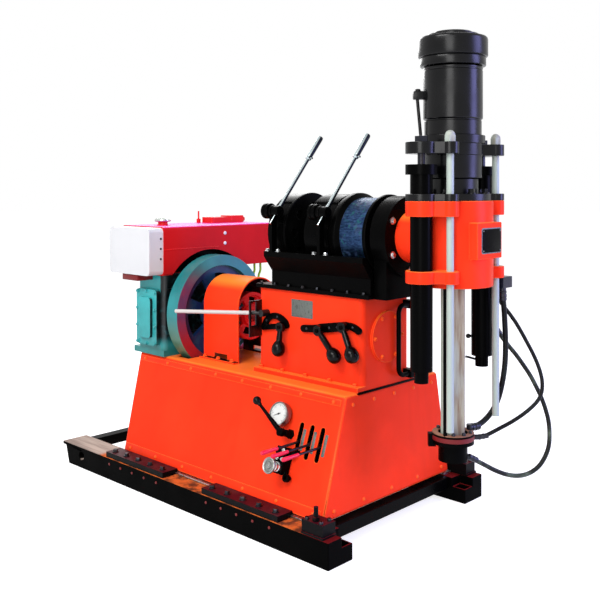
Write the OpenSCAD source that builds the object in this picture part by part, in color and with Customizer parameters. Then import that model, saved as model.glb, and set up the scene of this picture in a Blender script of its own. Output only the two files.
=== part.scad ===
// Skid-mounted core drilling rig with a diesel engine, a winch, a gearbox and a swivelling rotator.
// X runs from the engine to the spindle, -Y is the operator's side, Z is up and the ground is at Z = 0.

/* [Skid] */
// Length of a skid runner
runner_length = 1640; // [1500:10:1800]
// Width of a skid runner
runner_width = 125; // [100:5:150]
// Height of a skid runner
runner_height = 92; // [70:1:120]
// Overall width across both runners
skid_width = 940; // [900:10:1000]
// Length of the sled-like bevel at the rear end of a runner
runner_bevel = 50; // [40:2:80]
// Diameter of the tow hole through each runner
tow_hole_d = 36; // [20:1:44]
// Width of a cross beam along the skid
beam_width = 50; // [30:1:80]
// Height of a cross beam
beam_height = 46; // [30:1:60]
// Thickness of a hold-down plate
hold_down_t = 22; // [16:1:30]
// Thickness of the shoes under the cabinet
shoe_t = 8; // [6:0.5:14]
// How far the rig slides back from the hole
slide_stroke = 300; // [150:10:320]

/* [Cabinet] */
// Length of the cabinet at its foot
cabinet_foot_length = 1183; // [1100:1:1200]
// Length of the cabinet at its top
cabinet_top_length = 1240; // [1200:1:1260]
// Distance of the cabinet's foot from the outer side of a runner
foot_inset = 85; // [80:1:100]
// Distance of the top's near edge from the middle plane of the rig
cabinet_top_near = 235; // [220:1:250]
// Distance of the top's far edge from the middle plane of the rig
cabinet_top_far = 335; // [300:1:345]
// Height of the cabinet
cabinet_height = 410; // [380:1:440]
// Set-back of the cabinet foot behind the front ends of the runners
cabinet_setback = 102; // [80:1:130]
// Slant of the front wall from foot to top
cabinet_front_lean = 23; // [0:1:40]
// Thickness of the cabinet sheet
sheet_t = 4; // [2:0.5:6]

/* [Gearbox] */
// Length of the gearbox case
gearbox_length = 530; // [500:1:560]
// Width of the gearbox case
gearbox_width = 290; // [270:2:300]
// Height of the gearbox case above the cabinet
gearbox_height = 342; // [335:1:350]
// Wall of the gearbox case
gearbox_wall = 14; // [10:1:18]
// Thickness of the foot flange of the gearbox
foot_t = 18; // [12:1:24]
// Height of the engine and clutch axis above the cabinet
drive_axis_h = 187; // [180:1:200]
// Module of the spur gears
gear_module = 5; // [4:0.5:5]
// Teeth on the input gear and on the winch gear
small_teeth = 28; // [24:4:28]
// Teeth on the idler gear
idler_teeth = 48; // [40:4:48]
// Face width of the spur gears
gear_face = 36; // [24:1:40]
// Radius of the input shaft
input_r = 25; // [20:1:28]

/* [Engine] */
// Radius of the flywheel
flywheel_r = 256; // [230:1:258]
// Rim width of the flywheel
flywheel_w = 72; // [50:1:76]
// Radius of the crankshaft
crank_r = 30; // [24:1:34]
// Length of the engine along the rig
engine_length = 310; // [280:2:340]
// Height of the top of the fuel tank above the cabinet
tank_top_h = 575; // [560:1:600]
// Height of the fuel tank itself
tank_height = 215; // [190:1:225]
// Width of the engine across its cylinder axis
crankcase_width = 500; // [460:2:510]

/* [Clutch] */
// Length of the clutch guard
guard_length = 225; // [200:1:230]
// Outer radius of the arch of the clutch guard
guard_r = 122; // [116:1:130]
// Thickness of the clutch guard
guard_t = 8; // [5:0.5:10]
// Radius of the clutch wheel
clutch_r = 104; // [90:1:106]

/* [Winch] */
// Length of the winch base
winch_length = 570; // [560:1:580]
// Height of the winch base
winch_base_height = 153; // [145:1:160]
// Radius of the winch shaft
winch_shaft_r = 30; // [24:1:32]
// Radius of the two brake surfaces
brake_r = 150; // [140:1:154]
// Radius of the drum flanges
drum_flange_r = 161; // [158:1:164]
// Radius of the rope barrel
barrel_r = 143; // [120:1:147]
// Thickness of a brake band
band_t = 5; // [3:0.5:7]
// Length of a brake lever above its pivot
brake_lever_length = 396; // [380:1:430]
// Lean of a brake lever at rest, from upright
brake_lever_lean = 40; // [32:1:46]

/* [Rotator] */
// Distance of the spindle axis in front of the runners
spindle_reach = 171; // [165:1:190]
// Distance of the front plate of the rotator from the spindle axis
nose_depth = 149; // [149:1:160]
// Outer radius of the rotator housing
housing_r = 140; // [134:1:142]
// Underside of the rotator housing below the swivel axis
housing_drop = 162; // [158:1:170]
// Top of the rotator housing above the swivel axis
housing_rise = 136; // [134:1:140]
// Radius of the swivel neck of the rotator
neck_r = 94; // [90:1:104]
// Radius of the seat that the rotator swivels in
seat_r = 150; // [146:1:156]
// Distance of each feed cylinder from the spindle axis
cylinder_offset = 190; // [188:1:196]
// Outer radius of a feed cylinder
cylinder_r = 38; // [36:0.5:40]
// Length of a feed cylinder barrel
cylinder_length = 662; // [640:1:670]
// Radius of a piston rod
piston_rod_r = 13; // [10:0.5:16]
// Travel of the feed
feed_stroke = 450; // [300:10:450]
// Radius of a guide rod
guide_r = 12.5; // [10:0.5:14]
// Teeth on the bevel pinion
pinion_teeth = 20; // [20:2:22]
// Teeth on the bevel gear of the drive sleeve
bevel_teeth = 40; // [40:2:40]
// Radius of the bore of the spindle, which takes the drill rods
spindle_bore_r = 30; // [20:0.5:33]
// Width of the hexagonal spindle across its flats
spindle_flats = 82; // [80:0.5:84]

/* [Chucks] */
// Outer radius of the barrel of the upper chuck
chuck_r = 104; // [98:1:108]
// Height of the barrel of the upper chuck
chuck_barrel_h = 240; // [220:1:250]
// Outer radius of the turning chuck head
chuck_head_r = 122; // [112:1:126]
// Outer radius of the rod holder below the spindle
holder_r = 74; // [70:1:80]

/* [Levers] */
// Radius of the knob on a shift lever
knob_r = 16; // [10:0.5:18]
// Length of a valve lever out of its pivot
valve_lever_length = 215; // [180:1:220]
// Radius of the grip on a valve lever
grip_r = 9; // [6:0.5:10]
// Radius of the pressure gauge
gauge_r = 45; // [35:1:46]
// Radius of the handwheel
handwheel_r = 30; // [24:1:32]

/* [Hoses] */
// Diameter of the thin hose
hose_a_d = 14; // [10:0.5:15]
// Diameter of the middle hose
hose_b_d = 16; // [12:0.5:17]
// Diameter of the thick hose
hose_c_d = 20; // [14:0.5:21]

/* [Fits] */
// Radial clearance of a shaft in its bearing
running = 0.05; // [0.02:0.01:0.1]
// Gap between parts that pass each other
gap = 3; // [1:0.5:5]

/* [Hidden] */
$fn = 64;

ORANGE = [0.95, 0.16, 0.07];
RED = [0.72, 0.06, 0.06];
TEAL = [0.08, 0.42, 0.42];
BLACK = [0.03, 0.03, 0.035];
STEEL = [0.62, 0.63, 0.64];
WHITE = [0.93, 0.92, 0.90];

// Stations along the rig
tail_x = -(runner_length + spindle_reach + nose_depth) / 2;
front_x = tail_x + runner_length;
spindle_x = front_x + spindle_reach;
foot_front_x = front_x - cabinet_setback;
foot_rear_x = foot_front_x - cabinet_foot_length;
top_front_x = foot_front_x - cabinet_front_lean;
top_rear_x = top_front_x - cabinet_top_length;
gearbox_front_x = top_front_x;
gearbox_rear_x = gearbox_front_x - gearbox_length;
winch_front_x = gearbox_rear_x + winch_length;
seat_face_x = spindle_x - housing_r - 46;
guard_front_x = gearbox_rear_x - 170;
guard_rear_x = guard_front_x - guard_length;
flywheel_front_x = guard_rear_x - 20;
flywheel_rear_x = flywheel_front_x - flywheel_w;
engine_front_x = guard_rear_x - 100;
engine_rear_x = engine_front_x - engine_length;

// Levels
deck_z = runner_height + shoe_t;
top_z = deck_z + cabinet_height;
drive_z = top_z + drive_axis_h;
gearbox_top_z = top_z + gearbox_height;
ledge_z = gearbox_top_z + winch_base_height;
mesh_distance = gear_module * (small_teeth + idler_teeth) / 2;
idler_z = drive_z + mesh_distance;
swivel_z = idler_z + mesh_distance;
housing_bottom_z = swivel_z - housing_drop;
housing_top_z = swivel_z + housing_rise;
cover_t = 24;
cover_top_z = housing_top_z + cover_t;
gland_z = cover_top_z + 65;
gland_t = 34;
cylinder_bottom_z = gland_z - cylinder_length;
crosshead_z = gland_z + gland_t + 36;
crosshead_t = 40;
crosshead_boss_h = 80;
crosshead_top_z = crosshead_z + crosshead_t;
chuck_z = crosshead_top_z + 29;
chuck_top_z = chuck_z + chuck_barrel_h;
holder_z = 359;
holder_h = 35;
spindle_bottom_z = holder_z + 12;

// Half widths
runner_in_y = skid_width / 2 - runner_width;
foot_y = skid_width / 2 - foot_inset;
panel_lean = atan((foot_y - cabinet_top_near) / cabinet_height);
far_lean = atan((foot_y - cabinet_top_far) / cabinet_height);
case_y = gearbox_width / 2;
winch_y = drum_flange_r + 4;
ledge_y = winch_y + 26;

// Parts of the winch along its shaft
winch_wall = 14;
web_t = 14;
lift_start_x = gearbox_rear_x + 40;
lift_width = 95;
disc_t = 14;
web_1_x = lift_start_x + lift_width + disc_t + 8;
gear_x = web_1_x + web_t + 6;
web_2_x = gear_x + gear_face + 6;
rope_start_x = web_2_x + web_t + 7;
brake_width = 140;
rope_end_x = winch_front_x - winch_wall - 5;

// Guide rods beside the spindle
guide_x = 85;
guide_y = 145;

// Shift levers: pivot from the gearbox rear, pivot height above the cabinet, hang angle from straight down
SHIFT = [
    [132, 196, 3, 84],
    [335, 206, 49, 123],
    [456, 232, 32, 110]
];
shift_hub_r = 20;
shift_arm_r = 10;
shift_knob_r = 23;
gate_t = 12;

// Valve levers: places along the panel and the pivot's depth behind the sheet
valve_first_x = foot_front_x - 196;
valve_pitch = 52;
valve_panel_h = 236;
valve_hub_r = 10;
valve_rod_r = 5;
valve_depth = 22;
valve_slot_w = 22;
valve_slot_h = 124;
valve_play = 0.2;

// Other panel controls, from the cabinet front and above the deck
gauge_place = [-290, 302];
ball_place = [-240, 245];
wheel_place = [-228, 132];
wheel_out = 88;

// Hoses from the rotator and the far feed cylinder to the rod holder, as offsets from the spindle axis
hose_out = [0.72, 0.69];
HOSE_A = [
    [50, 214, 884], [50, 214, 870], [54, 216, 854], [64, 219, 836], [79, 224, 816], [97, 230, 792],
    [114, 237, 766], [132, 246, 732], [148, 255, 698], [164, 263, 664], [178, 270, 630], [190, 275, 594],
    [198, 275, 560], [201, 268, 528], [198, 254, 502], [187, 232, 478], [165, 202, 450], [138, 168, 424],
    [110, 130, 402], [88, 94, 385], [76, 75, 379], [66, 63, 376.5]
];
HOSE_B = [
    [27, 240, 740], [34, 249, 724], [48, 257, 700], [68, 266, 672], [92, 278, 640], [116, 291, 602],
    [137, 302, 566], [156, 312, 525], [172, 319, 488], [186, 323, 448], [197, 324, 408], [204, 319, 364],
    [206, 309, 320], [200, 291, 282], [187, 266, 250], [167, 234, 230], [143, 200, 224], [117, 163, 232],
    [92, 127, 250], [70, 94, 272], [54, 66, 290], [46, 48, 302], [41, 40, 307]
];
HOSE_C = [
    [90, 186, 884], [89, 191, 850], [87, 201, 812], [86, 207, 770], [87, 209, 730], [88, 209, 690],
    [88, 208, 650], [87, 205, 610], [84, 200, 570], [80, 192, 530], [75, 182, 496], [68, 169, 466],
    [60, 152, 442], [52, 130, 423], [44, 104, 410], [37, 80, 404.5], [33, 68, 404]
];
HOSE_A_R = hose_a_d / 2;
HOSE_B_R = hose_b_d / 2;
HOSE_C_R = hose_c_d / 2;

// Outlines

module rounded_rect(size, r) {
    square([size[0] - 2 * r, size[1]], center = true);
    square([size[0], size[1] - 2 * r], center = true);
    for (x = [-1, 1], y = [-1, 1])
        translate([x * (size[0] / 2 - r), y * (size[1] / 2 - r)]) circle(r);
}

// A straight bar with round ends from point a to point b, a little slimmer between them
module bar_2d(a, b, r) {
    d = b - a;
    waist = 0.96 * r;
    translate(a) circle(r);
    translate(b) circle(r);
    translate(a) rotate(atan2(d[1], d[0])) translate([0, -waist]) square([norm(d), 2 * waist]);
}

function involute(a) = tan(a) * 180 / PI - a;

// Half the angle of a spur tooth at radius q, with a little backlash
function tooth_half(teeth, r, q) =
    let (base = r * cos(20), spare = 0.16 / r * 180 / PI)
    90 / teeth - spare + involute(20) - (q > base ? involute(acos(base / q)) : 0);

module spur_2d(teeth) {
    r = gear_module * teeth / 2;
    steps = [-1.2, -0.4, 0.35, 0.95];
    polygon([
        for (i = [0 : teeth - 1])
            for (k = [0 : 7])
                let (
                    side = k < 4 ? -1 : 1,
                    q = r + gear_module * steps[k < 4 ? k : 7 - k],
                    a = 360 * i / teeth + side * tooth_half(teeth, r, q)
                )
                q * [cos(a), sin(a)]
    ]);
}

// Section of a straight bevel gear in the plane of its large end, where cone is its pitch cone angle
module bevel_2d(teeth, cone) {
    r = gear_module * teeth / 2;
    high = 0.9 * gear_module;
    deep = 1.2 * gear_module;
    half = PI * gear_module / 4 - 0.25;
    polygon([
        for (i = [0 : teeth - 1])
            for (p = [[-1, -deep], [-1, high], [1, high], [1, -deep]])
                let (
                    q = r + p[1] / cos(cone),
                    a = 360 * i / teeth + p[0] * (half - p[1] * tan(20)) / r * 180 / PI
                )
                q * [cos(a), sin(a)]
    ]);
}

// Solids

module along_x(x, y, z) {
    translate([x, y, z]) rotate([90, 0, 90]) children();
}

module disc_x(x, y, z, r, length) {
    along_x(x, y, z) cylinder(r = r, h = length);
}

module disc_y(x, y, z, r, length) {
    translate([x, y, z]) rotate([-90, 0, 0]) cylinder(r = r, h = length);
}

module box(x0, x1, y0, y1, z0, z1) {
    translate([x0, y0, z0]) cube([x1 - x0, y1 - y0, z1 - z0]);
}

module rod(a, b, r) {
    d = b - a;
    translate(a) rotate([0, acos(d[2] / norm(d)), atan2(d[1], d[0])]) cylinder(r = r, h = norm(d));
}

// A box with its upright edges rounded
module pillar(x0, x1, y0, y1, z0, z1, r) {
    translate([(x0 + x1) / 2, (y0 + y1) / 2, z0])
        linear_extrude(z1 - z0) rounded_rect([x1 - x0, y1 - y0], r);
}

module at_spindle(z) {
    translate([spindle_x, 0, z]) children();
}

module both_sides() {
    children();
    mirror([0, 1, 0]) children();
}

// Places children on the sloping operator's panel, with Z out of the sheet and Y up it
module on_panel(x, h) {
    translate([foot_front_x + x, -foot_y + h * tan(panel_lean), deck_z + h])
        rotate([90 - panel_lean, 0, 0]) children();
}

// A tube swept along a route, closed at both ends
function unit(v) = v / norm(v);
function heading(p, i) = unit(p[min(i + 1, len(p) - 1)] - p[max(i - 1, 0)]);
function swept_ring(p, i, r, sides) =
    let (
        t = heading(p, i),
        u = unit(cross(t, [-hose_out[1], hose_out[0], 0.001])),
        v = cross(t, u)
    )
    [for (k = [0 : sides - 1]) p[i] + r * (cos(360 * k / sides) * u + sin(360 * k / sides) * v)];

module tube_along(p, r, sides = 10) {
    n = len(p);
    points = [for (i = [0 : n - 1]) each swept_ring(p, i, r, sides)];
    walls = [
        for (i = [0 : n - 2])
            for (k = [0 : sides - 1])
                let (a = i * sides + k, b = i * sides + (k + 1) % sides)
                each [[a, b, b + sides], [a, b + sides, a + sides]]
    ];
    first = [for (k = [0 : sides - 1]) sides - 1 - k];
    last = [for (k = [0 : sides - 1]) (n - 1) * sides + k];
    polyhedron(points, concat([first, last], walls));
}

// Skid

toe_t = 14;
end_step = [60, 55];
end_step_z = 58;
end_wall = 7;
end_pocket_z = 26;
tow_hole_x = tail_x + runner_bevel + 106;

module runner() {
    difference() {
        translate([0, skid_width / 2, 0]) rotate([90, 0, 0]) linear_extrude(runner_width)
            polygon([
                [tail_x, runner_height], [tail_x, runner_height - toe_t],
                [tail_x + runner_bevel / 2, runner_height - toe_t], [tail_x + runner_bevel, 0],
                [front_x, 0], [front_x, runner_height]
            ]);
        disc_y(tow_hole_x, runner_in_y - 1, runner_height * 0.6, tow_hole_d / 2, runner_width + 2);
        end_pocket(0, end_step_z);
        end_pocket(end_wall, end_pocket_z);
    }
}

// Step in the inner half of a runner's front end, or the pocket in the step's floor
module end_pocket(wall, floor_z) {
    box(front_x - end_step[0] + wall, front_x + (wall > 0 ? -wall : 1), runner_in_y + (wall > 0 ? wall : -1),
        runner_in_y + end_step[1] - wall, floor_z, runner_height + 1);
}

module near_runner() {
    color(BLACK) mirror([0, 1, 0]) runner();
}

module far_runner() {
    color(BLACK) runner();
}

beam_top_z = runner_height - 2;
rear_beam_x = tail_x + 30;
front_beam_x = front_x - 130;

module cross_beams() {
    color(BLACK) for (x = [rear_beam_x, front_beam_x])
        difference() {
            box(x, x + beam_width, -runner_in_y, runner_in_y, beam_top_z - beam_height, beam_top_z);
            box(x + 8, x + beam_width - 8, -runner_in_y - 1, runner_in_y + 1,
                beam_top_z - beam_height - 1, beam_top_z - 8);
        }
}

plate_in_y = foot_y + 14;
plate_out_y = skid_width / 2 - 6;
lip = 10;
HOLD_DOWN = [[-13, 402], [630, 413]];

module hold_down_plates() {
    color(BLACK) both_sides() for (p = HOLD_DOWN) {
        x = foot_rear_x + p[0];
        difference() {
            box(x, x + p[1], plate_in_y - lip, plate_out_y, runner_height, runner_height + hold_down_t);
            box(x - 1, x + p[1] + 1, plate_in_y - lip - 1, plate_in_y, runner_height - 1, deck_z + 0.3);
        }
    }
}

stop_x = foot_front_x - 24;
stop_end_x = front_x - 30;
stop_in_y = plate_in_y + 1;
stop_plate_t = 7;
stop_h = 40;
lock_screw_r = 8;

module stop_blocks() {
    top = runner_height + stop_plate_t + stop_h;
    lock = [(stop_x + stop_end_x) / 2, plate_out_y - 20];
    color(BLACK) both_sides() {
        box(stop_x, stop_end_x + 4, stop_in_y, plate_out_y + 4, runner_height, runner_height + stop_plate_t);
        box(stop_x, stop_end_x, stop_in_y, plate_out_y, runner_height, top);
        translate([lock[0], lock[1], top]) cylinder(r = lock_screw_r + 5, h = 14, $fn = 6);
        translate([lock[0], lock[1], top]) cylinder(r = lock_screw_r, h = 48);
    }
}

barrel_x = rear_beam_x + beam_width;
barrel_z = 52;
barrel_out_r = 32;
barrel_in_r = 25;
slide_rod_r = 16;
barrel_length = slide_stroke + 130;
piston_x = barrel_x + barrel_length - 60;
lug_x = barrel_x + barrel_length + slide_stroke + 40;

module slide_barrel() {
    color(BLACK) difference() {
        disc_x(barrel_x, 0, barrel_z, barrel_out_r, barrel_length);
        disc_x(barrel_x + 20, 0, barrel_z, barrel_in_r, barrel_length - 40);
        disc_x(barrel_x + 20, 0, barrel_z, slide_rod_r + running, barrel_length);
    }
}

module slide_rod() {
    color(STEEL) {
        disc_x(piston_x, 0, barrel_z, barrel_in_r - running, 30);
        disc_x(piston_x + 30, 0, barrel_z, slide_rod_r, lug_x - piston_x - 30);
        box(lug_x, lug_x + 20, -40, 40, barrel_z - 30, deck_z);
    }
}

module slide_shoes() {
    color(STEEL) both_sides()
        box(foot_rear_x, foot_front_x, runner_in_y + 4, plate_in_y - 1, runner_height, deck_z);
}

// Cabinet

// Walls of the cabinet at height h above the deck; the sides are drawn in by t
function side_y(h, t, lean) = foot_y - h * tan(lean) - t / cos(lean);
function front_wall_x(h) = foot_front_x - h * cabinet_front_lean / cabinet_height;
function rear_wall_x(h) = foot_rear_x + h * (top_rear_x - foot_rear_x) / cabinet_height;

// Sloping block inside the cabinet's outer faces, drawn in by the sheet thickness t
module cabinet_block(t) {
    points = [
        for (h = [t, cabinet_height - t])
            for (c = [[-1, -1], [1, -1], [1, 1], [-1, 1]])
                [
                    c[0] > 0 ? front_wall_x(h) - t : rear_wall_x(h) + t,
                    c[1] * side_y(h, t, c[1] < 0 ? panel_lean : far_lean),
                    deck_z + h
                ]
    ];
    sides = [for (k = [0 : 3]) [k, k + 4, (k + 1) % 4 + 4, (k + 1) % 4]];
    polyhedron(points, concat([[0, 1, 2, 3], [7, 6, 5, 4]], sides));
}

slot_y = sqrt(pow(flywheel_r + 16, 2) - pow(drive_axis_h, 2));

module cabinet() {
    color(ORANGE) difference() {
        cabinet_block(0);
        cabinet_block(sheet_t);
        box(flywheel_rear_x - 8, flywheel_front_x + 8, -slot_y, slot_y, top_z - 20, top_z + 1);
        for (i = [0 : 2])
            on_panel(valve_first_x - foot_front_x + i * valve_pitch, valve_panel_h)
                translate([-valve_slot_w / 2, -valve_slot_h / 2, -20])
                    cube([valve_slot_w, valve_slot_h, 40]);
        for (p = [[ball_place, ball_stem_r], [wheel_place, wheel_stem_r]])
            on_panel(p[0][0], p[0][1]) translate([0, 0, -30]) cylinder(r = p[1] + running, h = 60);
    }
}

oil_tank_setback = 480;
oil_tank_length = 330;
oil_tank_x = foot_front_x - oil_tank_setback;
oil_tank_end_x = oil_tank_x + oil_tank_length;
oil_tank_y = [-40, foot_y - 120];
oil_tank_h = 230;
oil_tank_r = 20;
oil_filler = [oil_tank_x + 60, 100];
oil_filler_r = 30;

module oil_tank() {
    t = sheet_t;
    low_z = deck_z + sheet_t;
    top = deck_z + oil_tank_h;
    color(STEEL) difference() {
        pillar(oil_tank_x, oil_tank_end_x, oil_tank_y[0], oil_tank_y[1], low_z, top, oil_tank_r);
        pillar(oil_tank_x + t, oil_tank_end_x - t, oil_tank_y[0] + t, oil_tank_y[1] - t, low_z + t, top - t,
            oil_tank_r - t);
        translate([oil_filler[0], oil_filler[1], top - oil_filler_r]) cylinder(r = oil_filler_r, h = 60);
    }
}

// Gearbox

case_rear_x = gearbox_rear_x - 20;
case_corner_r = 26;
foot_lip = 26;
front_cap = [96, 12];
rear_cap = [60, 15];
gear_slot_y = gear_module * idler_teeth / 2 + 9;
gear_slot_x = [gear_x - 4, gear_x + gear_face + 4];

module case_outline(inset) {
    translate([(case_rear_x + gearbox_front_x) / 2, 0])
        rounded_rect([gearbox_front_x - case_rear_x - 2 * inset, gearbox_width - 2 * inset],
            case_corner_r - inset / 2);
}

module gearbox_case() {
    color(ORANGE) difference() {
        union() {
            translate([0, 0, top_z]) linear_extrude(gearbox_height) case_outline(0);
            box(case_rear_x, gearbox_front_x, -case_y - foot_lip, case_y + foot_lip, top_z, top_z + foot_t);
            disc_x(gearbox_front_x - 1, 0, drive_z, front_cap[0], front_cap[1]);
            disc_x(case_rear_x - rear_cap[1] + 1, 0, drive_z, rear_cap[0], rear_cap[1]);
        }
        translate([0, 0, top_z + foot_t]) linear_extrude(gearbox_height - foot_t - gearbox_wall)
            case_outline(gearbox_wall);
        disc_x(case_rear_x - 20, 0, drive_z, input_r + running, gearbox_wall + 30);
        disc_x(gearbox_front_x - 40, 0, drive_z, input_r + running, 36);
        disc_y(clutch_hub_x, -case_y - 1, clutch_hub_z, clutch_pin_r + running, gearbox_wall + 10);
        box(gear_slot_x[0], gear_slot_x[1], -gear_slot_y, gear_slot_y, gearbox_top_z - 40,
            gearbox_top_z + 1);
    }
}

function shift_pivot(i) = [gearbox_rear_x + SHIFT[i][0], top_z + SHIFT[i][1]];
gate_pin_r = 8;
gate_pin_h = 26;
shift_hub_w = 20;
shift_splay = 16;

// Arms of the gate: the pivot and offset of both ends, and half the width
GATE = [
    [0, [-110, -12], 0, [-58, 36], 13],
    [0, [-58, 36], 0, [14, 12], 14],
    [1, [-92, -4], 1, [0, 6], 14],
    [1, [0, 6], 2, [0, 0], 18],
    [2, [0, 0], 2, [60, -4], 14]
];

// Flat gate in the face of the gearbox, with the pivot pins of the shift levers
module gate_arm(a, b, r) {
    translate([0, -case_y, 0]) rotate([90, 0, 0]) linear_extrude(gate_t) bar_2d(a, b, r);
}

module shift_gates() {
    pin = gate_pin_h + gate_t;
    color(BLACK) {
        for (g = GATE)
            gate_arm(shift_pivot(g[0]) + g[1], shift_pivot(g[2]) + g[3], g[4]);
        for (i = [0 : 2])
            disc_y(shift_pivot(i)[0], -case_y - pin, shift_pivot(i)[1], gate_pin_r, pin);
    }
}

module shift_lever(i) {
    p = shift_pivot(i);
    y = -case_y - gate_t - 12;
    tip = p + SHIFT[i][3] * [sin(SHIFT[i][2]), -cos(SHIFT[i][2])];
    knob = [tip[0], y - shift_splay, tip[1]];
    color(BLACK) {
        difference() {
            disc_y(p[0], y - shift_hub_w / 2, p[1], shift_hub_r, shift_hub_w);
            disc_y(p[0], y - shift_hub_w / 2 - 1, p[1], gate_pin_r + running, shift_hub_w + 2);
        }
        difference() {
            rod([p[0], y, p[1]], knob, shift_arm_r);
            disc_y(p[0], y - shift_hub_w, p[1], shift_hub_r - 1, shift_hub_w * 1.5 + 1);
        }
        translate(knob) sphere(shift_knob_r);
    }
}

module shift_lever_1() { shift_lever(0); }
module shift_lever_2() { shift_lever(1); }
module shift_lever_3() { shift_lever(2); }

// Steel pipe on the front face of the gearbox, bent in quarter rings
pipe_r = 9;
pipe_bend = 30;
pipe_x = gearbox_front_x + 26;
pipe_y = 42;
pipe_low_z = top_z + 34;
pipe_high_z = top_z + 300;
pipe_run = 60;
clamp_w = 30;
clamp_r = 16;

module pipe_bend_at(y, z, start) {
    translate([pipe_x, y, z]) rotate([90, 0, 90]) rotate([0, 0, start])
        rotate_extrude(angle = 90) translate([pipe_bend, 0]) circle(pipe_r);
}

module return_pipe() {
    color(BLACK) {
        translate([pipe_x, pipe_y, pipe_low_z + pipe_bend])
            cylinder(r = pipe_r, h = pipe_high_z - pipe_low_z - 2 * pipe_bend);
        pipe_bend_at(pipe_y + pipe_bend, pipe_low_z + pipe_bend, 180);
        pipe_bend_at(pipe_y + pipe_bend, pipe_high_z - pipe_bend, 90);
        disc_y(pipe_x, pipe_y + pipe_bend, pipe_low_z, pipe_r, pipe_run);
        disc_y(pipe_x, pipe_y + pipe_bend, pipe_high_z, pipe_r, pipe_run);
        for (z = [pipe_low_z, pipe_high_z]) {
            difference() {
                box(gearbox_front_x, pipe_x + clamp_r - 2, pipe_y + pipe_run, pipe_y + pipe_run + clamp_w,
                    z - clamp_r, z + clamp_r);
                disc_y(pipe_x, pipe_y + pipe_run - 5, z, pipe_r - 0.5, clamp_w + 10);
            }
        }
    }
}

// Clutch

guard_rise = 50;
guard_leg = [70, 28];
guard_foot = [26, 8];

module clutch_guard() {
    arch_z = drive_z + guard_rise;
    leg_z = top_z + guard_leg[1];
    color(ORANGE) {
        difference() {
            union() {
                disc_x(guard_rear_x, 0, arch_z, guard_r, guard_length);
                box(guard_rear_x, guard_front_x, -guard_r, guard_r, leg_z, arch_z);
            }
            disc_x(guard_rear_x - 1, 0, arch_z, guard_r - guard_t, guard_length + 2);
            box(guard_rear_x - 1, guard_front_x + 1, -guard_r + guard_t, guard_r - guard_t, top_z, arch_z);
        }
        both_sides() for (x = [guard_rear_x, guard_front_x - guard_leg[0]])
            box(x, x + guard_leg[0], guard_r - guard_t, guard_r, top_z, leg_z);
        both_sides() box(guard_rear_x, guard_front_x, guard_r - guard_t, guard_r + guard_foot[0], top_z,
            top_z + guard_foot[1]);
    }
}

wheel_w = 46;
wheel_rim = 14;
wheel_hub_r = 44;
wheel_dish = 15;
wheel_window = [52, 30];

module clutch_wheel() {
    x = guard_front_x - 40 - wheel_w;
    color(RED) difference() {
        disc_x(x, 0, drive_z, clutch_r, wheel_w);
        for (s = [x - 1, x + wheel_w - wheel_dish])
            difference() {
                disc_x(s, 0, drive_z, clutch_r - wheel_rim, wheel_dish + 1);
                disc_x(s - 1, 0, drive_z, wheel_hub_r, wheel_dish + 3);
            }
        for (a = [0 : 60 : 300])
            along_x(x - 1, 0, drive_z) rotate(a) rotate_extrude(angle = 34)
                translate([wheel_window[0], 0]) square([wheel_window[1], wheel_w + 2]);
        disc_x(x - 1, 0, drive_z, input_r, wheel_w + 2);
    }
}

module input_shaft() {
    start_x = guard_rear_x + 20;
    color(STEEL) {
        disc_x(start_x, 0, drive_z, input_r, gearbox_front_x - 8 - start_x);
        along_x(gear_x, 0, drive_z) linear_extrude(gear_face) spur_2d(small_teeth);
    }
}

clutch_hub_x = gearbox_rear_x + 36;
clutch_hub_z = drive_z + 55;
clutch_pin_r = 10;
clutch_hub_r = 14;
clutch_hub_w = 40;
clutch_rod_r = 8;
clutch_tip = [gearbox_rear_x - 304, -case_y - 205, clutch_hub_z - 7];

module clutch_lever() {
    y = -case_y;
    color(WHITE) {
        disc_y(clutch_hub_x, y - clutch_hub_w, clutch_hub_z, clutch_hub_r, clutch_hub_w - 0.3);
        disc_y(clutch_hub_x, y - clutch_hub_w / 2, clutch_hub_z, clutch_pin_r, gearbox_wall + 24);
        rod([clutch_hub_x, y - 26, clutch_hub_z], clutch_tip, clutch_rod_r);
    }
}

// Engine

block_rear_x = engine_rear_x + 95;
block_front_x = engine_front_x - 20;
block_y = crankcase_width / 2;
block_r = 24;
block_wall = 14;
block_foot = 26;
seal_cap = [78, 18];
rib_t = 10;
rib_out = 6;
RIBS = [90, 190, 290];

module crankcase() {
    x0 = block_rear_x;
    x1 = block_front_x;
    w = block_wall;
    color(TEAL) difference() {
        union() {
            pillar(x0, x1, -block_y, block_y, top_z, top_z + crankcase_height, block_r);
            box(x0 - block_foot, x1, -block_y, block_y, top_z, top_z + block_foot);
            disc_x(x1 - 1, 0, drive_z, seal_cap[0], seal_cap[1]);
            for (h = RIBS)
                box(x0 - rib_out, x1 + rib_out, -block_y + 20, -block_y + 200, top_z + h, top_z + h + rib_t);
        }
        pillar(x0 + w, x1 - w, -block_y + w, block_y - w, top_z + w, top_z + crankcase_height - w,
            block_r / 2);
        disc_x(x1 - 120, 0, drive_z, crank_r + running, 160);
    }
}

cover_inset = 23;
cover_mid_h = 170;
cover_flange = [block_front_x - block_rear_x - 2 * cover_inset, 250, 22];
cover_raised = [cover_flange[0] - 60, 180, 14];

module crankcase_cover() {
    mid_x = (block_rear_x + block_front_x) / 2;
    color(TEAL) translate([mid_x, -block_y, top_z + cover_mid_h]) rotate([90, 0, 0]) {
        linear_extrude(cover_flange[2]) rounded_rect([cover_flange[0], cover_flange[1]], 22);
        translate([0, 0, cover_flange[2]]) linear_extrude(cover_raised[2])
            rounded_rect([cover_raised[0], cover_raised[1]], 18);
    }
}

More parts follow.
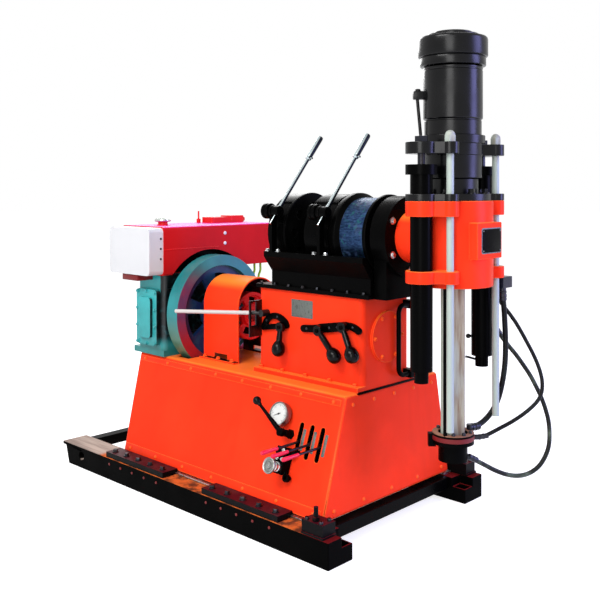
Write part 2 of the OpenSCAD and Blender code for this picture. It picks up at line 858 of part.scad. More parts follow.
head_flange_t = 60;
head_flange_h = [60, 330];
head_block_h = [90, 300];
head_inset = 12;
head_corner_r = 18;
head_depth = 130;
head_rear_x = block_rear_x + 5;
head_front_x = block_front_x - 10;

module cylinder_head() {
    color(TEAL) {
        box(head_rear_x, head_front_x, block_y, block_y + head_flange_t, top_z + head_flange_h[0],
            top_z + head_flange_h[1]);
        pillar(head_rear_x + head_inset, head_front_x - head_inset, block_y + head_flange_t,
            block_y + head_depth, top_z + head_block_h[0], top_z + head_block_h[1], head_corner_r);
    }
}

crankcase_height = tank_top_h - tank_height;
tank_low_z = top_z + crankcase_height;
tank_near_y = -265;
tank_far_y = 406;
hood_near_y = -340;
casing_t = 4;
cap_x = engine_rear_x + 150;
cap_y = -150;
tank_neck_r = 22;
CAP_STEPS = [[30, 0, 16], [38, 16, 20], [24, 36, 6]];

// Block of the engine's upper casing between two planes across the rig
module casing(y0, y1, inset, r) {
    translate([0, y0, 0]) rotate([90, 0, 0]) mirror([0, 0, 1]) linear_extrude(y1 - y0)
        translate([(engine_rear_x + engine_front_x) / 2, tank_low_z + tank_height / 2])
            rounded_rect([engine_length - 2 * inset, tank_height - 2 * inset], r);
}

// Recess over the flywheel in the front of the tank
arch_depth = 70;

module arch(spare) {
    disc_x(engine_front_x - arch_depth - spare, 0, drive_z, flywheel_r + 22 + spare, arch_depth + spare + 1);
}

module fuel_tank() {
    step_z = tank_low_z + 20;
    color(RED) difference() {
        casing(tank_near_y, tank_far_y, 0, 12);
        arch(0);
        box(engine_rear_x - 1, engine_front_x + 1, 0, tank_far_y + 1, tank_low_z - 1, step_z);
        difference() {
            casing(tank_near_y + casing_t, tank_far_y - casing_t, casing_t, 10);
            arch(casing_t);
            box(engine_rear_x - 1, engine_front_x + 1, -casing_t, tank_far_y + 1, tank_low_z - 1,
                step_z + casing_t);
        }
        translate([cap_x, cap_y, top_z + tank_top_h - 20]) cylinder(r = tank_neck_r, h = 40);
    }
}

module radiator_hood() {
    color(WHITE) difference() {
        casing(hood_near_y, tank_near_y, 4, 20);
        casing(hood_near_y + casing_t, tank_near_y + 1, 4 + casing_t, 16);
    }
}

module filler_cap() {
    color(RED) translate([cap_x, cap_y, top_z + tank_top_h]) {
        for (c = CAP_STEPS)
            translate([0, 0, c[1]]) cylinder(r = c[0], h = c[2]);
    }
}

// Low cover at the far end of the engine's top, with the decompression lever
top_cover_w = 80;
top_cover_r = 12;
top_cover_y = 158;

module engine_top_cover() {
    x = engine_rear_x + 55;
    x1 = x + top_cover_w;
    y = top_cover_y;
    z = top_z + tank_top_h;
    color(RED) {
        pillar(x, x1, y, y + 130, z, z + 28, top_cover_r);
        pillar(x, x1, y + 120, y + 215, z, z + 34, top_cover_r);
        disc_y(x + top_cover_w / 2, y + 213, z + 14, top_cover_r, 32);
        translate([x - 4, y - 14, z]) {
            cylinder(r = 10, h = 20);
            cylinder(r = 4, h = 58);
        }
    }
}

flywheel_rim = 48;
flywheel_hub_r = 62;
flywheel_window = [92, 80];
crank_cap = [55, 8];

module flywheel() {
    mid_x = (flywheel_rear_x + flywheel_front_x) / 2;
    color(TEAL) difference() {
        disc_x(flywheel_rear_x, 0, drive_z, flywheel_r, flywheel_w);
        for (x = [flywheel_rear_x - 1, mid_x + 9])
            difference() {
                disc_x(x, 0, drive_z, flywheel_r - flywheel_rim, flywheel_w / 2 - 8);
                disc_x(x - 1, 0, drive_z, flywheel_hub_r, flywheel_w);
            }
        for (a = [0 : 60 : 300])
            along_x(flywheel_rear_x, 0, drive_z) rotate(a) rotate_extrude(angle = 36)
                translate([flywheel_window[0], 0]) square([flywheel_window[1], flywheel_w]);
        disc_x(flywheel_rear_x - 1, 0, drive_z, crank_r, flywheel_w + 2);
    }
}

module crankshaft() {
    color(STEEL) {
        disc_x(engine_front_x - 130, 0, drive_z, crank_r, flywheel_front_x - engine_front_x + 131);
        disc_x(flywheel_front_x, 0, drive_z, crank_cap[0], crank_cap[1]);
    }
}

// Winch

base_start_x = gearbox_rear_x + 60;
base_flange_t = 16;
base_flange_y = case_y + 12;
base_in_y = case_y - winch_wall;
sill_z = swivel_z - 172;
bearing_r = 52;
idler_shaft_r = 22;

// Side wall of the winch base, flared to the ledge that carries the lever posts
module winch_side() {
    flare_z = ledge_z - 80;
    translate([base_start_x, 0, 0]) rotate([90, 0, 90]) linear_extrude(winch_front_x - base_start_x)
        polygon([
            [base_in_y, gearbox_top_z], [case_y, gearbox_top_z], [case_y, flare_z], [ledge_y, ledge_z - 20],
            [ledge_y, ledge_z], [winch_y, ledge_z], [winch_y, ledge_z - 10], [base_in_y, flare_z + 20]
        ]);
}

module winch_base() {
    base_top_z = gearbox_top_z + base_flange_t;
    color(BLACK) difference() {
        union() {
            box(case_rear_x, winch_front_x, -base_flange_y, base_flange_y, gearbox_top_z, base_top_z);
            both_sides() winch_side();
            for (x = [base_start_x, web_1_x, web_2_x, winch_front_x - winch_wall])
                box(x, x + web_t, -base_in_y - 1, base_in_y + 1, gearbox_top_z, sill_z);
            for (x = [gearbox_rear_x, web_1_x, web_2_x]) {
                box(x, x + web_t, -bearing_r, bearing_r, gearbox_top_z, swivel_z);
                disc_x(x, 0, swivel_z, bearing_r, web_t);
            }
            for (x = [lift_lever_x, brake_lever_x])
                lever_post(x);
        }
        box(gear_slot_x[0], gear_slot_x[1], -base_in_y, base_in_y, gearbox_top_z - 1, base_top_z + 1);
        disc_x(gearbox_rear_x - 1, 0, swivel_z, winch_shaft_r + running, winch_length + 2);
        disc_x(web_1_x - 1, 0, idler_z, idler_shaft_r + running, web_2_x - web_1_x + web_t + 2);
    }
}

pivot_y = -(winch_y + 12);
pivot_z = swivel_z + 88;
pivot_r = 14;
post_t = 14;
post_y = 14;
post_eye_r = 24;
lever_hub = [31, 36];
lever_boss = [22, 34];
lever_rod_r = 9;
lever_grip_r = 13;
lift_lever_x = lift_start_x + 66;
brake_lever_x = rope_start_x + 122;

// Post on the ledge with the bearing of one brake lever's shaft
module lever_post(x) {
    difference() {
        union() {
            box(x - post_t, x, pivot_y - post_y, pivot_y + post_y, ledge_z - 1, pivot_z);
            disc_x(x - post_t, pivot_y, pivot_z, post_eye_r, post_t);
        }
        disc_x(x - post_t - 1, pivot_y, pivot_z, pivot_r + running, post_t + 2);
    }
}

module band_lever(x) {
    play = 0.3;
    low = [x + 18, pivot_y, pivot_z];
    top = low + brake_lever_length * [0, sin(brake_lever_lean), cos(brake_lever_lean)];
    reach = top - low;
    color(STEEL) {
        disc_x(x - post_t - play - lever_hub[1], pivot_y, pivot_z, lever_hub[0], lever_hub[1]);
        disc_x(x - post_t - play - 1, pivot_y, pivot_z, pivot_r, post_t + 2 * play + 2);
        disc_x(x + play, pivot_y, pivot_z, lever_boss[0], lever_boss[1]);
        rod(low, low + reach * 0.74, lever_rod_r);
        rod(low + reach * 0.72, top, lever_grip_r);
        rod(low, low - reach * 0.14, lever_rod_r);
    }
}

module lift_lever() { band_lever(lift_lever_x); }
module brake_lever() { band_lever(brake_lever_x); }

drum_bore_r = winch_shaft_r + running;
lift_rim_r = brake_r - 16;
lift_hub_r = 70;
lift_web_x = 40;
lift_hole = [104, 18];
rope_rim_r = brake_r - 18;
rope_hub_r = 66;
rope_web_x = 24;

module lift_drum() {
    color(BLACK) along_x(lift_start_x, 0, swivel_z) difference() {
        rotate_extrude()
            polygon([
                [drum_bore_r, 4], [lift_hub_r, 4], [lift_hub_r, lift_web_x], [lift_rim_r, lift_web_x],
                [lift_rim_r, 0], [brake_r, 0], [brake_r, lift_width], [drum_flange_r, lift_width],
                [drum_flange_r, lift_width + disc_t], [drum_bore_r, lift_width + disc_t]
            ]);
        for (a = [0 : 45 : 315])
            rotate(a) translate([lift_hole[0], 0, 30]) cylinder(r = lift_hole[1], h = lift_width + 40);
    }
}

module rope_drum() {
    length = rope_end_x - rope_start_x;
    color(STEEL) along_x(rope_start_x, 0, swivel_z)
        rotate_extrude()
            polygon([
                [drum_bore_r, 4], [rope_hub_r, 4], [rope_hub_r, rope_web_x], [rope_rim_r, rope_web_x],
                [rope_rim_r, 0], [brake_r, 0], [brake_r, brake_width], [drum_flange_r, brake_width + 6],
                [drum_flange_r, brake_width + 28], [barrel_r, brake_width + 40],
                [barrel_r, length - 22], [drum_flange_r - 5, length - 14], [drum_flange_r - 5, length],
                [drum_bore_r, length]
            ]);
}

module band(x, width) {
    inner = brake_r + 0.6;
    difference() {
        union() {
            disc_x(x, 0, swivel_z, inner + band_t, width);
            box(x + width / 2 - 24, x + width / 2 + 24, inner - 2, ledge_y - 4, ledge_z, swivel_z + 20);
        }
        disc_x(x - 1, 0, swivel_z, inner, width + 2);
        box(x - 1, x + width + 1, -drum_flange_r - 10, -inner * 0.62, swivel_z + 40, swivel_z + 140);
    }
}

module brake_bands() {
    color(BLACK) {
        band(lift_start_x + 8, lift_width - 16);
        band(rope_start_x + 8, brake_width - 20);
    }
}

module winch_shaft() {
    color(STEEL) {
        disc_x(gearbox_rear_x - 20, 0, swivel_z, winch_shaft_r, seat_face_x + 30 - gearbox_rear_x + 20);
        along_x(gear_x, 0, swivel_z) linear_extrude(gear_face) spur_2d(small_teeth);
    }
}

idler_hole = [64, 24];

module idler_gear() {
    color(STEEL) {
        along_x(gear_x, 0, idler_z) rotate(180 / idler_teeth) linear_extrude(gear_face)
            difference() {
                spur_2d(idler_teeth);
                for (a = [0 : 60 : 300])
                    rotate(a) translate([idler_hole[0], 0]) circle(idler_hole[1]);
            }
        disc_x(web_1_x + 1, 0, idler_z, idler_shaft_r, web_2_x + web_t - web_1_x - 2);
    }
}

// Black casting in front of the winch that carries the swivel seat
seat_depth = 22;
spigot_r = 78;
seat_bolt_r = 8;
seat_bolt_circle = seat_r - 27;

module front_housing() {
    color(BLACK) difference() {
        union() {
            disc_x(winch_front_x, 0, swivel_z, seat_r, seat_face_x - winch_front_x);
            box(winch_front_x, seat_face_x - 14, -seat_r + 26, seat_r - 26, gearbox_top_z, swivel_z);
        }
        disc_x(winch_front_x - 1, 0, swivel_z, winch_shaft_r + running, seat_face_x - winch_front_x + 2);
        disc_x(seat_face_x - seat_depth, 0, swivel_z, spigot_r + running, seat_depth + 1);
        for (a = [30 : 60 : 330])
            disc_x(seat_face_x - 24, seat_bolt_circle * cos(a), swivel_z + seat_bolt_circle * sin(a),
                seat_bolt_r, 25);
    }
}

// Panel controls

block_depth = 62;
throttle = [46, 96, 42];
throttle_neck = [15, 17];
throttle_plug = [14, 12];

module valve_block() {
    color(BLACK) {
        on_panel(valve_first_x - foot_front_x, valve_panel_h) difference() {
            translate([-30, -valve_slot_h / 2 - 12, -sheet_t - block_depth])
                cube([2 * valve_pitch + 60, valve_slot_h + 24, block_depth]);
            for (i = [0 : 2]) translate([i * valve_pitch - valve_slot_w / 2, 0, -sheet_t - valve_depth]) {
                translate([0, -valve_slot_h / 2, 0]) cube([valve_slot_w, valve_slot_h, valve_depth + 1]);
                rotate([0, 90, 0]) cylinder(r = valve_hub_r + running, h = valve_slot_w);
            }
        }
        on_panel(wheel_place[0], wheel_place[1]) difference() {
            union() {
                translate([-throttle[0] / 2, -throttle[0] / 2, 0]) cube(throttle);
                translate([0, 0, throttle[2] - 1]) cylinder(r = throttle_neck[0], h = throttle_neck[1]);
                translate([-6, throttle[1] - 40, throttle[2] - 1])
                    cylinder(r = throttle_plug[0], h = throttle_plug[1], $fn = 6);
            }
            translate([0, 0, -1]) cylinder(r = wheel_stem_r + running, h = throttle[2] + 30);
        }
    }
}

// Lever that droops from the sheet's normal to about level
module valve_lever(i) {
    grip = 92;
    color(RED) on_panel(valve_first_x - foot_front_x + i * valve_pitch, valve_panel_h)
        translate([0, 0, -sheet_t - valve_depth]) rotate([panel_lean, 0, 0]) {
            translate([-valve_slot_w / 2 + valve_play, 0, 0]) rotate([0, 90, 0])
                cylinder(r = valve_hub_r, h = valve_slot_w - 2 * valve_play);
            cylinder(r = valve_rod_r, h = valve_lever_length - grip);
            translate([0, 0, valve_lever_length - grip]) cylinder(r = grip_r, h = grip);
        }
}

module valve_lever_1() { valve_lever(0); }
module valve_lever_2() { valve_lever(1); }
module valve_lever_3() { valve_lever(2); }

gauge_foot = [16, 12];
gauge_depth = 30;
dial_depth = 5;

module pressure_gauge() {
    color(STEEL) on_panel(gauge_place[0], gauge_place[1]) {
        cylinder(r = gauge_foot[0], h = gauge_foot[1]);
        translate([0, 0, gauge_foot[1]]) difference() {
            cylinder(r = gauge_r, h = gauge_depth);
            translate([0, 0, gauge_depth - dial_depth]) cylinder(r = gauge_r - 6, h = dial_depth + 1);
        }
    }
}

ball_stem_r = 9;
wheel_stem_r = 7;
stem_depth = 24;
ball_collar = [15, 46, 20];
ball_arm_r = 6;
ball_tip = [-118, 88, 96];

module ball_lever() {
    color(BLACK) on_panel(ball_place[0], ball_place[1]) {
        translate([0, 0, ball_collar[1]]) cylinder(r = ball_collar[0], h = ball_collar[2]);
        rod([0, 0, ball_collar[1] + 10], ball_tip, ball_arm_r);
        translate(ball_tip) sphere(knob_r);
        translate([0, 0, -stem_depth]) cylinder(r = ball_stem_r, h = 50 + stem_depth);
    }
}

module handwheel() {
    rim_r = 6;
    spoke = 6;
    color(STEEL) on_panel(wheel_place[0], wheel_place[1]) {
        translate([0, 0, -stem_depth]) cylinder(r = wheel_stem_r, h = wheel_out + stem_depth);
        translate([0, 0, wheel_out]) {
            rotate_extrude() translate([handwheel_r - rim_r, 0]) circle(rim_r);
            for (a = [0, 90])
                rotate(a) translate([-handwheel_r + rim_r, -spoke / 2, -spoke / 2])
                    cube([2 * handwheel_r - 2 * rim_r, spoke, spoke]);
            translate([0, 0, -6]) cylinder(r = 11, h = 14);
        }
    }
}

// Rotator

flange_low = [21, 63];
flange_high = [housing_drop + housing_rise - 52, housing_drop + housing_rise];
ear_r = 54;
guide_ear_r = 30;

// Plan of a flange with ears for both cylinders and both guide rods
module ear_plan(body_r) {
    circle(body_r);
    bar_2d([0, -cylinder_offset], [0, cylinder_offset], ear_r);
    for (s = [-1, 1]) {
        bar_2d([0, s * 60], [guide_x, s * guide_y], guide_ear_r);
        bar_2d([0, s * cylinder_offset], [guide_x, s * guide_y], guide_ear_r - 3);
    }
}

sleeve_r = 62;
bevel_r = gear_module * bevel_teeth / 2;
pinion_r = gear_module * pinion_teeth / 2;
cavity_r = bevel_r + 18;

module rotator_housing() {
    boss_y = 78;
    boss_h = 62;
    color(ORANGE) difference() {
        union() {
            at_spindle(housing_bottom_z) {
                cylinder(r = housing_r, h = housing_drop + housing_rise);
                for (f = [flange_low, flange_high])
                    translate([0, 0, f[0]]) linear_extrude(f[1] - f[0]) ear_plan(housing_r - 4);
            }
            disc_x(seat_face_x, 0, swivel_z, neck_r, spindle_x - seat_face_x);
            disc_x(seat_face_x - seat_depth + 1, 0, swivel_z, spigot_r, seat_depth);
            translate([spindle_x, -boss_y, swivel_z - boss_h])
                cube([nose_depth, 2 * boss_y, 2 * boss_h]);
        }
        at_spindle(housing_bottom_z - 1) cylinder(r = sleeve_r + running, h = 600);
        at_spindle(swivel_z - pinion_r - 30) cylinder(r = cavity_r, h = 148);
        disc_x(seat_face_x - seat_depth - 1, 0, swivel_z, pinion_journal_r + running, 240);
        disc_x(spindle_x - bevel_r - 40, 0, swivel_z, pinion_r + 12, 60);
        at_spindle(0) for (s = [-1, 1]) {
            translate([0, s * cylinder_offset, 0]) cylinder(r = cylinder_r + running, h = 2000);
            translate([guide_x, s * guide_y, 0]) cylinder(r = guide_r + running, h = 2000);
        }
    }
}

collar_r = 88;
collar_top_z = crosshead_z - crosshead_boss_h - gap;

module bearing_cover() {
    color(BLACK) at_spindle(housing_top_z) difference() {
        union() {
            linear_extrude(cover_t) ear_plan(housing_r - 8);
            cylinder(r = collar_r, h = collar_top_z - housing_top_z);
        }
        translate([0, 0, -1]) cylinder(r = sleeve_r + running, h = collar_top_z - housing_top_z + 2);
        for (s = [-1, 1]) {
            translate([0, s * cylinder_offset, -1]) cylinder(r = cylinder_r + running, h = 100);
            translate([guide_x, s * guide_y, -1]) cylinder(r = guide_r + 2, h = 100);
        }
    }
}

cylinder_bore_r = 27;
floor_t = 36;
cylinder_neck = [cylinder_r - 14, 40];
gland_r = 54;

module feed_cylinders() {
    color(BLACK) both_sides() at_spindle(cylinder_bottom_z) translate([0, cylinder_offset, 0]) difference() {
        union() {
            cylinder(r = cylinder_r, h = cylinder_length);
            translate([0, 0, -cylinder_neck[1]]) cylinder(r = cylinder_neck[0], h = cylinder_neck[1] + 1);
            translate([0, 0, cylinder_length]) cylinder(r = gland_r, h = gland_t);
        }
        translate([0, 0, floor_t]) cylinder(r = cylinder_bore_r, h = cylinder_length - floor_t - 12);
        translate([0, 0, floor_t]) cylinder(r = piston_rod_r + running, h = cylinder_length);
    }
}

pinion_journal_r = 42;

module bevel_pinion() {
    x = spindle_x - bevel_r;
    start_x = seat_face_x - seat_depth + 4;
    share = 0.3;
    color(STEEL) difference() {
        union() {
            disc_x(start_x, 0, swivel_z, pinion_journal_r, x - start_x);
            translate([x, 0, swivel_z]) rotate([0, 90, 0])
                linear_extrude(share * bevel_r, scale = 1 - share)
                    bevel_2d(pinion_teeth, atan(pinion_r / bevel_r));
        }
        disc_x(seat_face_x - seat_depth, 0, swivel_z, winch_shaft_r + running, seat_depth + 34);
    }
}

module spindle_hex(flats, z0, z1) {
    translate([0, 0, z0]) cylinder(r = flats / sqrt(3), h = z1 - z0, $fn = 6);
}

module drive_sleeve() {
    share = 0.3;
    color(STEEL) at_spindle(0) difference() {
        union() {
            translate([0, 0, housing_bottom_z + 4])
                cylinder(r = sleeve_r, h = cover_top_z - housing_bottom_z - 8);
            translate([0, 0, swivel_z - pinion_r - 22]) cylinder(r = bevel_r - 16, h = 23);
            translate([0, 0, swivel_z - pinion_r]) rotate(180 / bevel_teeth)
                linear_extrude(share * pinion_r, scale = 1 - share)
                    bevel_2d(bevel_teeth, atan(bevel_r / pinion_r));
        }
        spindle_hex(spindle_flats + 0.6, 0, 3000);
    }
}

// Rod holder hung below the rotator, with its hoses

hanger_r = 7;
hanger_offset = 66;
hanger_lug = [26, 24, 46];
nose_r = 51;
nose_h = 62;
HANGERS = [-80, 134];
LUGS = [-136, 134];

module rod_holder() {
    color(BLACK) at_spindle(0) {
        difference() {
            union() {
                translate([0, 0, holder_z]) cylinder(r = holder_r, h = holder_h);
                translate([0, 0, holder_z - nose_h]) cylinder(r = nose_r, h = nose_h + 1);
                for (a = LUGS)
                    rotate(a) translate([hanger_offset - 4, -hanger_lug[1] / 2, holder_z - 12])
                        cube(hanger_lug);
            }
            translate([0, 0, holder_z + 8]) cylinder(r = spindle_flats / sqrt(3) + gap, h = 100);
            translate([0, 0, holder_z - nose_h - 1]) cylinder(r = spindle_bore_r + 4, h = 120);
        }
        for (a = HANGERS)
            rotate(a) translate([hanger_offset, 0, holder_z + 30])
                cylinder(r = hanger_r, h = housing_bottom_z - holder_z - 30);
    }
}

// Stub between the rod holder and the lower end of a hose
module radial_stub(route, from_r, r) {
    end = route[len(route) - 1];
    rotate(atan2(end[1], end[0])) translate([from_r, 0, end[2]]) rotate([0, 90, 0])
        cylinder(r = r, h = norm([end[0], end[1]]) - from_r);
}

manifold_low_z = housing_bottom_z - 19;
manifold_at = [42, 166];
manifold_w = 62;
cylinder_port = [14, 216, 757];
holder_port = [30, 60];
holder_port_r = 11;

module hose_fittings() {
    last_c = HOSE_C[len(HOSE_C) - 1];
    color(STEEL) at_spindle(0) {
        translate([manifold_at[0], manifold_at[1], manifold_low_z])
            cube([manifold_w, manifold_w, housing_bottom_z + flange_low[0] - manifold_low_z]);
        for (h = [[HOSE_A, HOSE_A_R], [HOSE_C, HOSE_C_R]])
            translate(h[0][0]) cylinder(r = h[1] + 2, h = manifold_low_z - h[0][0][2] + 1);
        difference() {
            rod(cylinder_port, HOSE_B[0], HOSE_B_R + 2);
            translate([0, cylinder_offset, 0]) cylinder(r = cylinder_r, h = gland_z);
        }
        radial_stub(HOSE_A, holder_r - 1, HOSE_A_R + 2);
        radial_stub(HOSE_B, nose_r - 1, HOSE_B_R + 2);
        translate([holder_port[0], holder_port[1], holder_z + holder_h])
            cylinder(r = holder_port_r, h = 2 * holder_port_r);
        rod([holder_port[0], holder_port[1], last_c[2]], last_c, HOSE_C_R + 2);
    }
}

module hose(route, r) {
    color(BLACK) at_spindle(0) tube_along(route, r);
}

module hose_a() { hose(HOSE_A, HOSE_A_R); }
module hose_b() { hose(HOSE_B, HOSE_B_R); }
module hose_c() { hose(HOSE_C, HOSE_C_R); }

// Feed

journal_r = spindle_flats / 2 - 0.5;
head_z = chuck_top_z + gap;
head_lip_h = 32;
head_h = 72;
head_cap_h = 18;
head_step = 7;
head_cap_r = 92;
head_ring_r = 70;
crosshead_boss_r = 100;
crosshead_body_r = 104;
crosshead_ring_r = 112;

module crosshead() {
    color(BLACK) at_spindle(0) difference() {
        union() {
            translate([0, 0, crosshead_z - crosshead_boss_h])
                cylinder(r = crosshead_boss_r, h = crosshead_boss_h + 1);
            translate([0, 0, crosshead_z]) linear_extrude(crosshead_t) ear_plan(crosshead_body_r);
            translate([0, 0, crosshead_top_z]) cylinder(r = crosshead_ring_r, h = chuck_z - crosshead_top_z);
        }
        translate([0, 0, crosshead_z - crosshead_boss_h - 10]) cylinder(r = journal_r + running, h = 300);
        for (s = [-1, 1]) {
            translate([0, s * cylinder_offset, crosshead_z - 1])
                cylinder(r = piston_rod_r, h = crosshead_t + 2);
            translate([guide_x, s * guide_y, crosshead_z - 1]) cylinder(r = guide_r, h = crosshead_t + 2);
        }
    }
}

guide_low_z = housing_bottom_z - feed_stroke - 25;
acorn_nut = [20, 22];
acorn_r = 17;

module guide_rods() {
    color(STEEL) both_sides() at_spindle(0) translate([guide_x, guide_y, 0]) {
        translate([0, 0, guide_low_z]) cylinder(r = guide_r, h = crosshead_top_z - guide_low_z);
        translate([0, 0, crosshead_top_z]) cylinder(r = acorn_nut[0], h = acorn_nut[1], $fn = 6);
        translate([0, 0, crosshead_top_z + acorn_nut[1]]) intersection() {
            sphere(acorn_r);
            cylinder(r = acorn_nut[0], h = acorn_nut[0]);
        }
    }
}

piston_nut = [24, 20];
piston_t = 40;

module piston_rods() {
    color(STEEL) both_sides() at_spindle(cylinder_bottom_z + floor_t) translate([0, cylinder_offset, 0]) {
        translate([0, 0, 2]) cylinder(r = cylinder_bore_r - running, h = piston_t);
        cylinder(r = piston_rod_r, h = crosshead_top_z - cylinder_bottom_z - floor_t);
        translate([0, 0, crosshead_top_z - cylinder_bottom_z - floor_t])
            cylinder(r = piston_nut[0], h = piston_nut[1], $fn = 6);
    }
}

strut_h = 128;
strut_block = [44, 26, 30];
strut_r = 6;
strut_turn = -136;
chuck_foot_h = 57;

module upper_chuck() {
    color(BLACK) at_spindle(chuck_z) difference() {
        union() {
            cylinder(r = chuck_r - 4, h = chuck_foot_h);
            translate([0, 0, chuck_foot_h - 1]) cylinder(r = chuck_r, h = chuck_barrel_h - chuck_foot_h + 1);
            rotate(strut_turn) {
                translate([chuck_r - 6, -strut_block[1] / 2, strut_h]) cube(strut_block);
                rod([chuck_r + 10, 0, 0], [chuck_r + 22, 0, strut_h + 2], strut_r);
            }
        }
        translate([0, 0, -1]) cylinder(r = journal_r + running, h = 60);
        translate([0, 0, 30]) cylinder(r = journal_r + 24, h = chuck_barrel_h);
    }
}

module spindle() {
    color(STEEL) at_spindle(0) difference() {
        union() {
            spindle_hex(spindle_flats, spindle_bottom_z, crosshead_z - crosshead_boss_h - 4);
            translate([0, 0, crosshead_z - crosshead_boss_h - 5])
                cylinder(r = journal_r, h = head_z - crosshead_z + crosshead_boss_h + 6);
            translate([0, 0, head_z]) cylinder(r = chuck_head_r - head_step, h = head_lip_h + 1);
            translate([0, 0, head_z + head_lip_h]) cylinder(r = chuck_head_r, h = head_h);
            translate([0, 0, head_z + head_lip_h + head_h - 1]) {
                cylinder(r = head_cap_r, h = head_cap_h / 2 + 1);
                cylinder(r = head_ring_r, h = head_cap_h + 1);
            }
        }
        cylinder(r = spindle_bore_r, h = 3000);
    }
}

near_runner();
far_runner();
cross_beams();
hold_down_plates();
stop_blocks();
slide_barrel();
slide_shoes();
slide_rod();
cabinet();
oil_tank();
gearbox_case();
shift_gates();
return_pipe();
clutch_guard();
crankcase();
crankcase_cover();
cylinder_head();
radiator_hood();
fuel_tank();
filler_cap();
engine_top_cover();
winch_base();
front_housing();
brake_bands();
valve_block();
pressure_gauge();
flywheel();
crankshaft();
clutch_wheel();
input_shaft();
idler_gear();
winch_shaft();
lift_drum();
rope_drum();
lift_lever();
brake_lever();
clutch_lever();
shift_lever_1();
shift_lever_2();
shift_lever_3();
valve_lever_1();
valve_lever_2();
valve_lever_3();
ball_lever();
handwheel();
rotator_housing();
bearing_cover();
feed_cylinders();
bevel_pinion();
drive_sleeve();
rod_holder();
hose_fittings();
hose_a();
hose_b();
hose_c();
crosshead();
guide_rods();
piston_rods();
upper_chuck();
spindle();
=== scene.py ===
"""Looks of the skid-mounted core drilling rig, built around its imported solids. Lengths are in metres."""

from math import atan, cos, pi, radians, sin, tan

import bmesh
import bpy
from mathutils import Matrix, Vector


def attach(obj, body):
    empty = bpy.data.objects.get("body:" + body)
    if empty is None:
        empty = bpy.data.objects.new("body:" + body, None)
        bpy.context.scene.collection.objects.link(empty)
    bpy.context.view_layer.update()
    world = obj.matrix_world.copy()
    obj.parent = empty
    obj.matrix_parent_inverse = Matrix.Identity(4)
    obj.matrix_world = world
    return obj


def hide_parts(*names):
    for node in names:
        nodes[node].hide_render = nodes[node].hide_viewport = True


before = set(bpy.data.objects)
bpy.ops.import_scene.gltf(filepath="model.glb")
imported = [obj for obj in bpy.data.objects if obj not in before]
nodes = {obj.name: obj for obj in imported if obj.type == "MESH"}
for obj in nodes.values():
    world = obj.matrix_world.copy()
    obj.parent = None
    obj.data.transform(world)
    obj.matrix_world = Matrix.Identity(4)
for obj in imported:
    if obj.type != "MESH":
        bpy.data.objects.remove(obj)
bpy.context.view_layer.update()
scene = bpy.context.scene

# Stations of the rig, as in the part's source
SPINDLE_X = 0.831
SWIVEL_Z = 1.077
DRIVE_Z = 0.697
DECK_Z, TOP_Z = 0.100, 0.510
CABINET_H = TOP_Z - DECK_Z
FOOT_FRONT_X, FOOT_REAR_X = 0.558, -0.625
TOP_FRONT_X, TOP_REAR_X = 0.535, -0.705
FOOT_Y, TOP_Y, TOP_FAR_Y = 0.385, 0.235, 0.335
CASE_Y = 0.145
PANEL_LEAN = atan((FOOT_Y - TOP_Y) / CABINET_H)
FAR_LEAN = atan((FOOT_Y - TOP_FAR_Y) / CABINET_H)

# Directions in which fasteners look
UP, FRONT, NEAR = (0, 0, 1), (1, 0, 0), (0, -1, 0)


# Camera

CAMERA_AT = (2.50428, -2.53354, 1.257)
AZIMUTH = radians(43.7)
LENS, SENSOR = 50.7, 36
FRAME_SHIFT = -0.1867


def linked(name, data):
    """A new object in the scene."""
    made = bpy.data.objects.new(name, data)
    scene.collection.objects.link(made)
    return made


optics = bpy.data.cameras.new("camera")
optics.lens, optics.sensor_width = LENS, SENSOR
optics.shift_y = FRAME_SHIFT
camera = linked("camera", optics)
camera.location = CAMERA_AT
look = Vector((-sin(AZIMUTH), cos(AZIMUTH), 0))
camera.rotation_euler = look.to_track_quat("-Z", "Y").to_euler()
scene.camera = camera
scene.view_settings.view_transform = "Standard"


# Materials


def linear(colour, k=1):
    """Linear colour of an sRGB triple from 0 to 255, times k."""
    tones = [t / 255 / 12.92 if t < 11 else ((t / 255 + 0.055) / 1.055) ** 2.4 for t in colour]
    return (*[min(1, t * k) for t in tones], 1)


class Nodes:
    """A node tree with short calls."""

    def __init__(self, tree):
        self.tree = tree

    def node(self, kind, inputs=None, **props):
        made = self.tree.nodes.new("ShaderNode" + kind)
        for key, value in props.items():
            setattr(made, key, value)
        for key, value in (inputs or {}).items():
            self.feed(made.inputs[key], value)
        return made

    def feed(self, socket, value):
        """Links a socket or sets its value. A triple for a colour is sRGB."""
        if isinstance(value, bpy.types.NodeSocket):
            self.tree.links.new(value, socket)
        elif socket.type == "RGBA" and len(value) == 3:
            socket.default_value = linear(value)
        else:
            socket.default_value = value

    def math(self, operation, a, b):
        return self.node("Math", {0: a, 1: b}, operation=operation).outputs[0]

    def times(self, a, b):
        return self.math("MULTIPLY", a, b)


